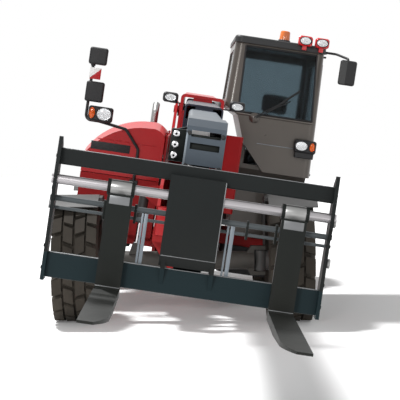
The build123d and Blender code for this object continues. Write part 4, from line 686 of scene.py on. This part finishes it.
# %% Mirrors
for name, x, y, z, wide, high in (
    ("lower mirror glass", -1.035, 0.6505, 1.905, 0.140, 0.160),
    ("upper mirror glass", -1.045, 0.6505, 2.235, 0.140, 0.130),
    ("left mirror glass", 1.220, 0.2705, 2.400, 0.122, 0.195),
):
    strip((x - wide / 2, y - 0.002, z - high / 2), (x + wide / 2, y + 0.0015, z + high / 2), name, CHASSIS,
          "chassis", MIRROR)
strip((1.147, 0.2085, 2.297), (1.205, 0.2115, 2.500), "left mirror face", CHASSIS, "chassis", GUARD)
print("mirrors have their glass")

# %% [markdown]
# Between the two mirrors of the right mast hangs a small red and white plate that marks the machine's width. Each
# half is a flat outline, pulled to its thickness in edit mode.

# %% Width plate and mast clamps
def plate(outline, low, high, bevel):
    """Flat plate: an outline in X and Z, made thick from low to high along Y."""
    mesh = bpy.data.meshes.new("plate")
    mesh.from_pydata([(x, low, z) for x, z in outline], [], [tuple(range(len(outline)))])
    piece = bpy.data.objects.new("plate", mesh)
    bpy.context.scene.collection.objects.link(piece)
    select_only(piece)
    bpy.ops.object.mode_set(mode="EDIT")
    bpy.ops.mesh.select_all(action="SELECT")
    bpy.ops.mesh.extrude_region_move(TRANSFORM_OT_translate={"value": (0, high - low, 0)})
    bpy.ops.mesh.select_all(action="SELECT")
    bpy.ops.mesh.normals_make_consistent(inside=False)
    bpy.ops.object.mode_set(mode="OBJECT")
    edge = piece.modifiers.new("edges", "BEVEL")
    edge.width = bevel
    edge.segments = 2
    edge.limit_method = "ANGLE"
    apply_modifiers(piece)
    return piece


red_half = plate(((-1.105, 2.020), (-1.000, 2.020), (-1.000, 2.125)), 0.606, 0.610, 0.0008)
finish_piece(red_half, "width plate red", CHASSIS, "chassis", RED)
white_half = plate(((-1.105, 2.022), (-1.001, 2.126), (-1.105, 2.126)), 0.606, 0.610, 0.0008)
finish_piece(white_half, "width plate white", CHASSIS, "chassis", WHITE)
for z in (1.870, 1.975, 2.140):
    clamp = lathe([(0, 0.0145), (0, 0.022), (0.022, 0.022), (0.022, 0.0145)], (-1.085, 0.640, z), (0, 0, 1), 24)
    finish_piece(clamp, "mast clamp", CHASSIS, "chassis", TRIM)
print("width plate and clamps are on the mast")

# %% [markdown]
# The cab's panes sit in rubber seals. A seal follows the edge of the opening, so it is a thin round bar along each
# side of a pane. The front face slopes back above the sill, so the height of a point gives its place on it.

# %% Window seals
SILL_Y, SILL_Z, FRONT_SLOPE = 0.291, 1.889, 0.128


def bar(start, end, radius, sides=24):
    """Round bar from one point to another."""
    start, end = Vector(start), Vector(end)
    run = end - start
    turn = run.to_track_quat("Z", "Y")
    bpy.ops.mesh.primitive_cylinder_add(
        vertices=sides, radius=radius, depth=run.length, location=(start + end) / 2, rotation=turn.to_euler()
    )
    piece = bpy.context.active_object
    bpy.ops.object.transform_apply(location=True, rotation=True, scale=True)
    return piece


def on_front(x, z, proud=0.0):
    """Place on the sloping front face of the cab."""
    return (x, SILL_Y + (z - SILL_Z) * FRONT_SLOPE - proud, z)


def seal(corners, name, body):
    """Rubber seal round a pane, run back to its first corner so that it closes."""
    for a, b in zip(corners, corners[1:] + corners[:1]):
        finish_piece(bar(a, b, 0.009, 10), name, CHASSIS, body, HOSE)


seal([on_front(x, z, 0.001) for x, z in ((0.297, 1.919), (0.973, 1.919), (0.936, 2.519), (0.286, 2.519))],
     "windscreen seal", "chassis")
print("windscreen has its seal")

# %% [markdown]
# Below the windscreen runs a rounded lip, and the wiper turns on a low round housing. Its two arms and its blade are
# bars that stand a little proud of the glass.

# %% Cowl and wiper
lip = block((0.285, 0.272, 1.893), (0.985, 0.292, 1.911), 0.006)
finish_piece(lip, "cowl lip", CHASSIS, "chassis", CHAMPAGNE)
bulge = lathe([(0, 0), (0.002, 0.048), (0.010, 0.046), (0.020, 0.030), (0.026, 0.012), (0.028, 0)],
              on_front(0.451, 1.880, 0.004), (0, -1, 0), 32)
finish_piece(bulge, "wiper housing", CHASSIS, "chassis", CHAMPAGNE)
PIVOTS = ((0.445, 1.884), (0.463, 1.880))
for k, (x, z) in enumerate(PIVOTS):
    arm = bar(on_front(x, z, 0.030), on_front(0.735 + 0.02 * k, 2.090 - 0.015 * k, 0.016), 0.0055, 10)
    finish_piece(arm, "wiper arm", CHASSIS, "chassis", TRIM)
blade = bar(on_front(0.560, 1.945, 0.014), on_front(0.830, 2.180, 0.014), 0.010, 12)
finish_piece(blade, "wiper blade", CHASSIS, "chassis", TRIM)
# A thin pale strip along the crease of the cab nose is a painted highlight.
strip((0.506, 0.292, 1.652), (0.850, 0.300, 1.657), "nose crease highlight", CHASSIS, "chassis", PALE)
for z in (2.512, 2.548):
    clamp = block((1.000, 0.455, z), (1.030, 0.500, z + 0.016), 0.003)
    finish_piece(clamp, "arm clamp", CHASSIS, "chassis", TRIM)
strip((0.205, 0.388, 2.500), (0.245, 0.398, 2.545), "lamp bracket", CHASSIS, "chassis", TRIM)
print("cab front dressed")

# %% [markdown]
# The door has a seal round each pane as well, and a handle. They are drawn in the closed place and hang on the door's
# body, so they swing with it. The steps below it get bare steel treads.

# %% Door and steps
SIDE, SIDE_BEND_Z, SIDE_SLOPE = 1.030, 1.404, 0.0237


def on_side(y, z, proud=0.0):
    """Place on the cab's left face, which leans in above the nose."""
    return (SIDE - max(0, z - SIDE_BEND_Z) * SIDE_SLOPE + proud, y, z)


seal([on_side(y, z, 0.001) for y, z in ((0.452, 1.600), (0.500, 2.448), (1.440, 2.448), (1.496, 1.560),
                                        (1.496, 1.460), (0.900, 1.460), (0.800, 1.560))], "door seal", "cab_door")
seal([on_side(y, z, 0.001) for y, z in ((0.900, 0.900), (0.900, 1.390), (1.490, 1.390), (1.490, 0.900))],
     "lower door seal", "cab_door")
handle = pipe([on_side(0.870, 1.410, 0.0), on_side(0.872, 1.412, 0.045), on_side(0.930, 1.425, 0.050),
               on_side(1.000, 1.425, 0.048), on_side(1.004, 1.424, 0.0)], 0.009, 12)
finish_piece(handle, "door handle", CHASSIS, "cab_door", TRIM)
for z in (0.508, 0.628):
    tread = block((0.865, 0.955, z - 0.068), (0.992, 1.405, z - 0.060), 0.002)
    finish_piece(tread, "step tread", CHASSIS, "chassis", STEEL)
print("door and steps dressed")

# %% [markdown]
# The seat's cushions are soft, so they are blown up by the cloth solver instead of being drawn: cloth under a little
# pressure bulges the way upholstery does. They stand for the plain CAD pads, which stay in the motion model.

# %% Seat cushions
VOXEL = 0.008
PRESSURE, FRAMES = 4.0, 20
SWELL = 0.022  # how far a point may move
SEAT_TOP = 1.2723  # top of the seat's base


def cushion(name, low, high, slope):
    """Block-shaped cloth cushion, its back leaning by slope, ready to be blown up."""
    piece = block(low, high, 0.035, 3)
    foot = Vector((0, low[1], low[2]))
    for vertex in piece.data.vertices:
        vertex.co.y += (vertex.co.z - foot.z) * slope
    piece.name = name
    select_only(piece)
    skin = piece.modifiers.new("even mesh", "REMESH")
    skin.mode = "VOXEL"
    skin.voxel_size = VOXEL
    apply_modifiers(piece)
    return piece


def puff(piece):
    """Blow a cushion up with the cloth solver and keep the result, no point further out than SWELL."""
    select_only(piece)
    start = [vertex.co.copy() for vertex in piece.data.vertices]
    cloth = piece.modifiers.new("cloth", "CLOTH")
    cloth.settings.quality = 5
    cloth.settings.use_pressure = True
    cloth.settings.uniform_pressure_force = PRESSURE
    cloth.settings.effector_weights.gravity = 0.0
    cloth.settings.tension_stiffness = 60
    cloth.settings.bending_stiffness = 3.0
    cloth.point_cache.frame_start = 1
    cloth.point_cache.frame_end = FRAMES
    for step in range(1, FRAMES + 1):
        bpy.context.scene.frame_set(step)
    bpy.context.view_layer.update()
    bpy.ops.object.modifier_apply(modifier=cloth.name)
    bpy.context.scene.frame_set(1)
    for vertex, before in zip(piece.data.vertices, start):
        moved = vertex.co - before
        if moved.length > SWELL:
            vertex.co = before + moved * (SWELL / moved.length)
    smooth = piece.modifiers.new("smooth", "SUBSURF")
    smooth.levels = 1
    smooth.render_levels = 1
    apply_modifiers(piece)


cushions = [
    cushion("seat_cushion", (0.475, 1.030, SEAT_TOP + 0.002), (0.909, 1.432, SEAT_TOP + 0.100), 0.0),
    cushion("head_cushion", (0.565, 1.570, 1.955), (0.819, 1.640, 2.140), 0.10),
    cushion("back_cushion", (0.485, 1.425, SEAT_TOP + 0.135), (0.899, 1.495, SEAT_TOP + 0.640), 0.150),
]
print("cushions have", sum(len(c.data.polygons) for c in cushions), "faces before they are blown up")

# %% [markdown]
# The headrest stands on two thin posts. Each cushion is then blown up and finished.

# %% Blow the cushions up
for x in (0.640, 0.744):
    finish_piece(bar((x, 1.590, 1.880), (x, 1.606, 1.975), 0.007, 12), "headrest post", CHASSIS, "chassis",
                 STEEL)
for piece in cushions:
    puff(piece)
    finish_piece(piece, piece.name, CHASSIS, "chassis", CLOTH)
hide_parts("seat_pads")
print("cushions have", sum(len(c.data.polygons) for c in cushions), "faces")

# %% [markdown]
# The hood is pressed in one sheet. Its looks come from a few raised creases, a dark grille on its front and the
# louvres on its side that let the engine's air out.

# %% Hood, grille and louvres
HOOD_FRONT = 0.765
strip((-1.010, HOOD_FRONT - 0.004, 1.375), (-0.640, HOOD_FRONT + 0.004, 1.452), "grille frame", CHASSIS,
      "engine_hood", TRIM, 0.003)
for k in range(6):
    z = 1.383 + 0.011 * k
    strip((-1.000, HOOD_FRONT - 0.008, z), (-0.650, HOOD_FRONT - 0.002, z + 0.005), "grille slat", CHASSIS,
          "engine_hood", GREY_BLACK)
for z, x0 in ((1.480, -0.955), (1.345, -1.040)):
    crease = bar((x0, HOOD_FRONT - 0.001, z), (-0.400, HOOD_FRONT - 0.001, z), 0.004, 12)
    finish_piece(crease, "hood crease", CHASSIS, "engine_hood", RED)
for k in range(9):
    y = 1.450 + 0.07 * k
    strip((-1.0755, y, 1.180), (-1.068, y + 0.030, 1.320), "louvre", CHASSIS, "engine_hood", TRIM,
          0.002)
for y in (0.98, 2.30):
    strip((-1.078, y, 1.160), (-1.066, y + 0.060, 1.185), "hood catch", CHASSIS, "engine_hood",
          GREY_BLACK, 0.003)
print("hood dressed")

# %% [markdown]
# Behind the carriage the front of the chassis shows as a jumble of red brackets and a valve block with its plugs and
# hoses. Each is a simple block, turned piece or short fixed pipe, placed where the real machine has its like.

# %% Front brackets, valves and hoses
NECK = -0.420
for x0, x1, z0, z1 in ((-0.285, -0.180, 0.760, 1.000), (0.060, 0.195, 0.770, 1.000)):
    finish_piece(block((x0, NECK - 0.030, z0), (x1, NECK + 0.002, z1), 0.008), "front bracket", CHASSIS, "chassis",
                 RED)
for k in range(5):
    x = 0.070 + 0.026 * k
    strip((x, NECK - 0.040, 0.785), (x + 0.008, NECK - 0.028, 0.985), "bracket rib", CHASSIS, "chassis",
          RED, 0.002)
valve = block((-0.150, NECK - 0.075, 0.800), (0.030, NECK + 0.002, 0.930), 0.006)
finish_piece(valve, "valve block", CHASSIS, "chassis", GREY_BLACK)
for k in range(4):
    plug = lathe([(0, 0), (0, 0.016), (0.012, 0.016), (0.012, 0.011), (0.034, 0.011), (0.034, 0)],
                 (-0.125 + 0.043 * k, NECK - 0.075, 0.890), (0, -1, 0), 6)
    finish_piece(plug, "valve plug", CHASSIS, "chassis", CHROME)
for k in range(5):
    x = -0.130 + 0.036 * k
    hose = pipe([(x, NECK - 0.070, 0.830), (x, NECK - 0.130, 0.820), (x + 0.02, NECK - 0.135, 0.760),
                 (x + 0.04, NECK - 0.06, 0.735), (x + 0.03, NECK + 0.05, 0.745)], 0.009)
    finish_piece(hose, "valve hose", CHASSIS, "chassis", HOSE)
print("brackets and valve block dressed")

# %% [markdown]
# Wheels are held by nuts on a ring, and the planetary hub has its own ring of bolts. One helper gives the places
# round a wheel's axis, and the bolts of a ring are joined into one piece that turns with the wheel.

# %% Wheel nuts and hub bolts
WHEEL_X = 0.942
NUTS, NUT_RING, NUT_FACE = 10, 0.136, 0.032
HUB_BOLTS, HUB_RING, HUB_FACE = 8, 0.060, 0.128
CORNERS = (("front_left", 1, 0.0), ("front_right", -1, 0.0),
           ("rear_left", 1, WHEELBASE), ("rear_right", -1, WHEELBASE))


def ring_spots(x, y, radius, count, shift=0.0):
    """Places evenly round a wheel's axis, on its face at x."""
    turns = [2 * pi * (k + shift) / count for k in range(count)]
    return [(x, y + radius * cos(turn), AXLE_Z + radius * sin(turn)) for turn in turns]


for corner, side, y in CORNERS:
    ring = ring_spots(side * (WHEEL_X + NUT_FACE), y, NUT_RING, NUTS, 0.5)
    bolts(ring, (side, 0, 0), 0.014, "wheel nuts " + corner, GROUND, "wheel_" + corner, STEEL)
    ring = ring_spots(side * (WHEEL_X + HUB_FACE), y, HUB_RING, HUB_BOLTS)
    bolts(ring, (side, 0, 0), 0.008, "hub bolts " + corner, GROUND, "wheel_" + corner, STEEL)
print(len(CORNERS), "wheels have nuts and hub bolts")
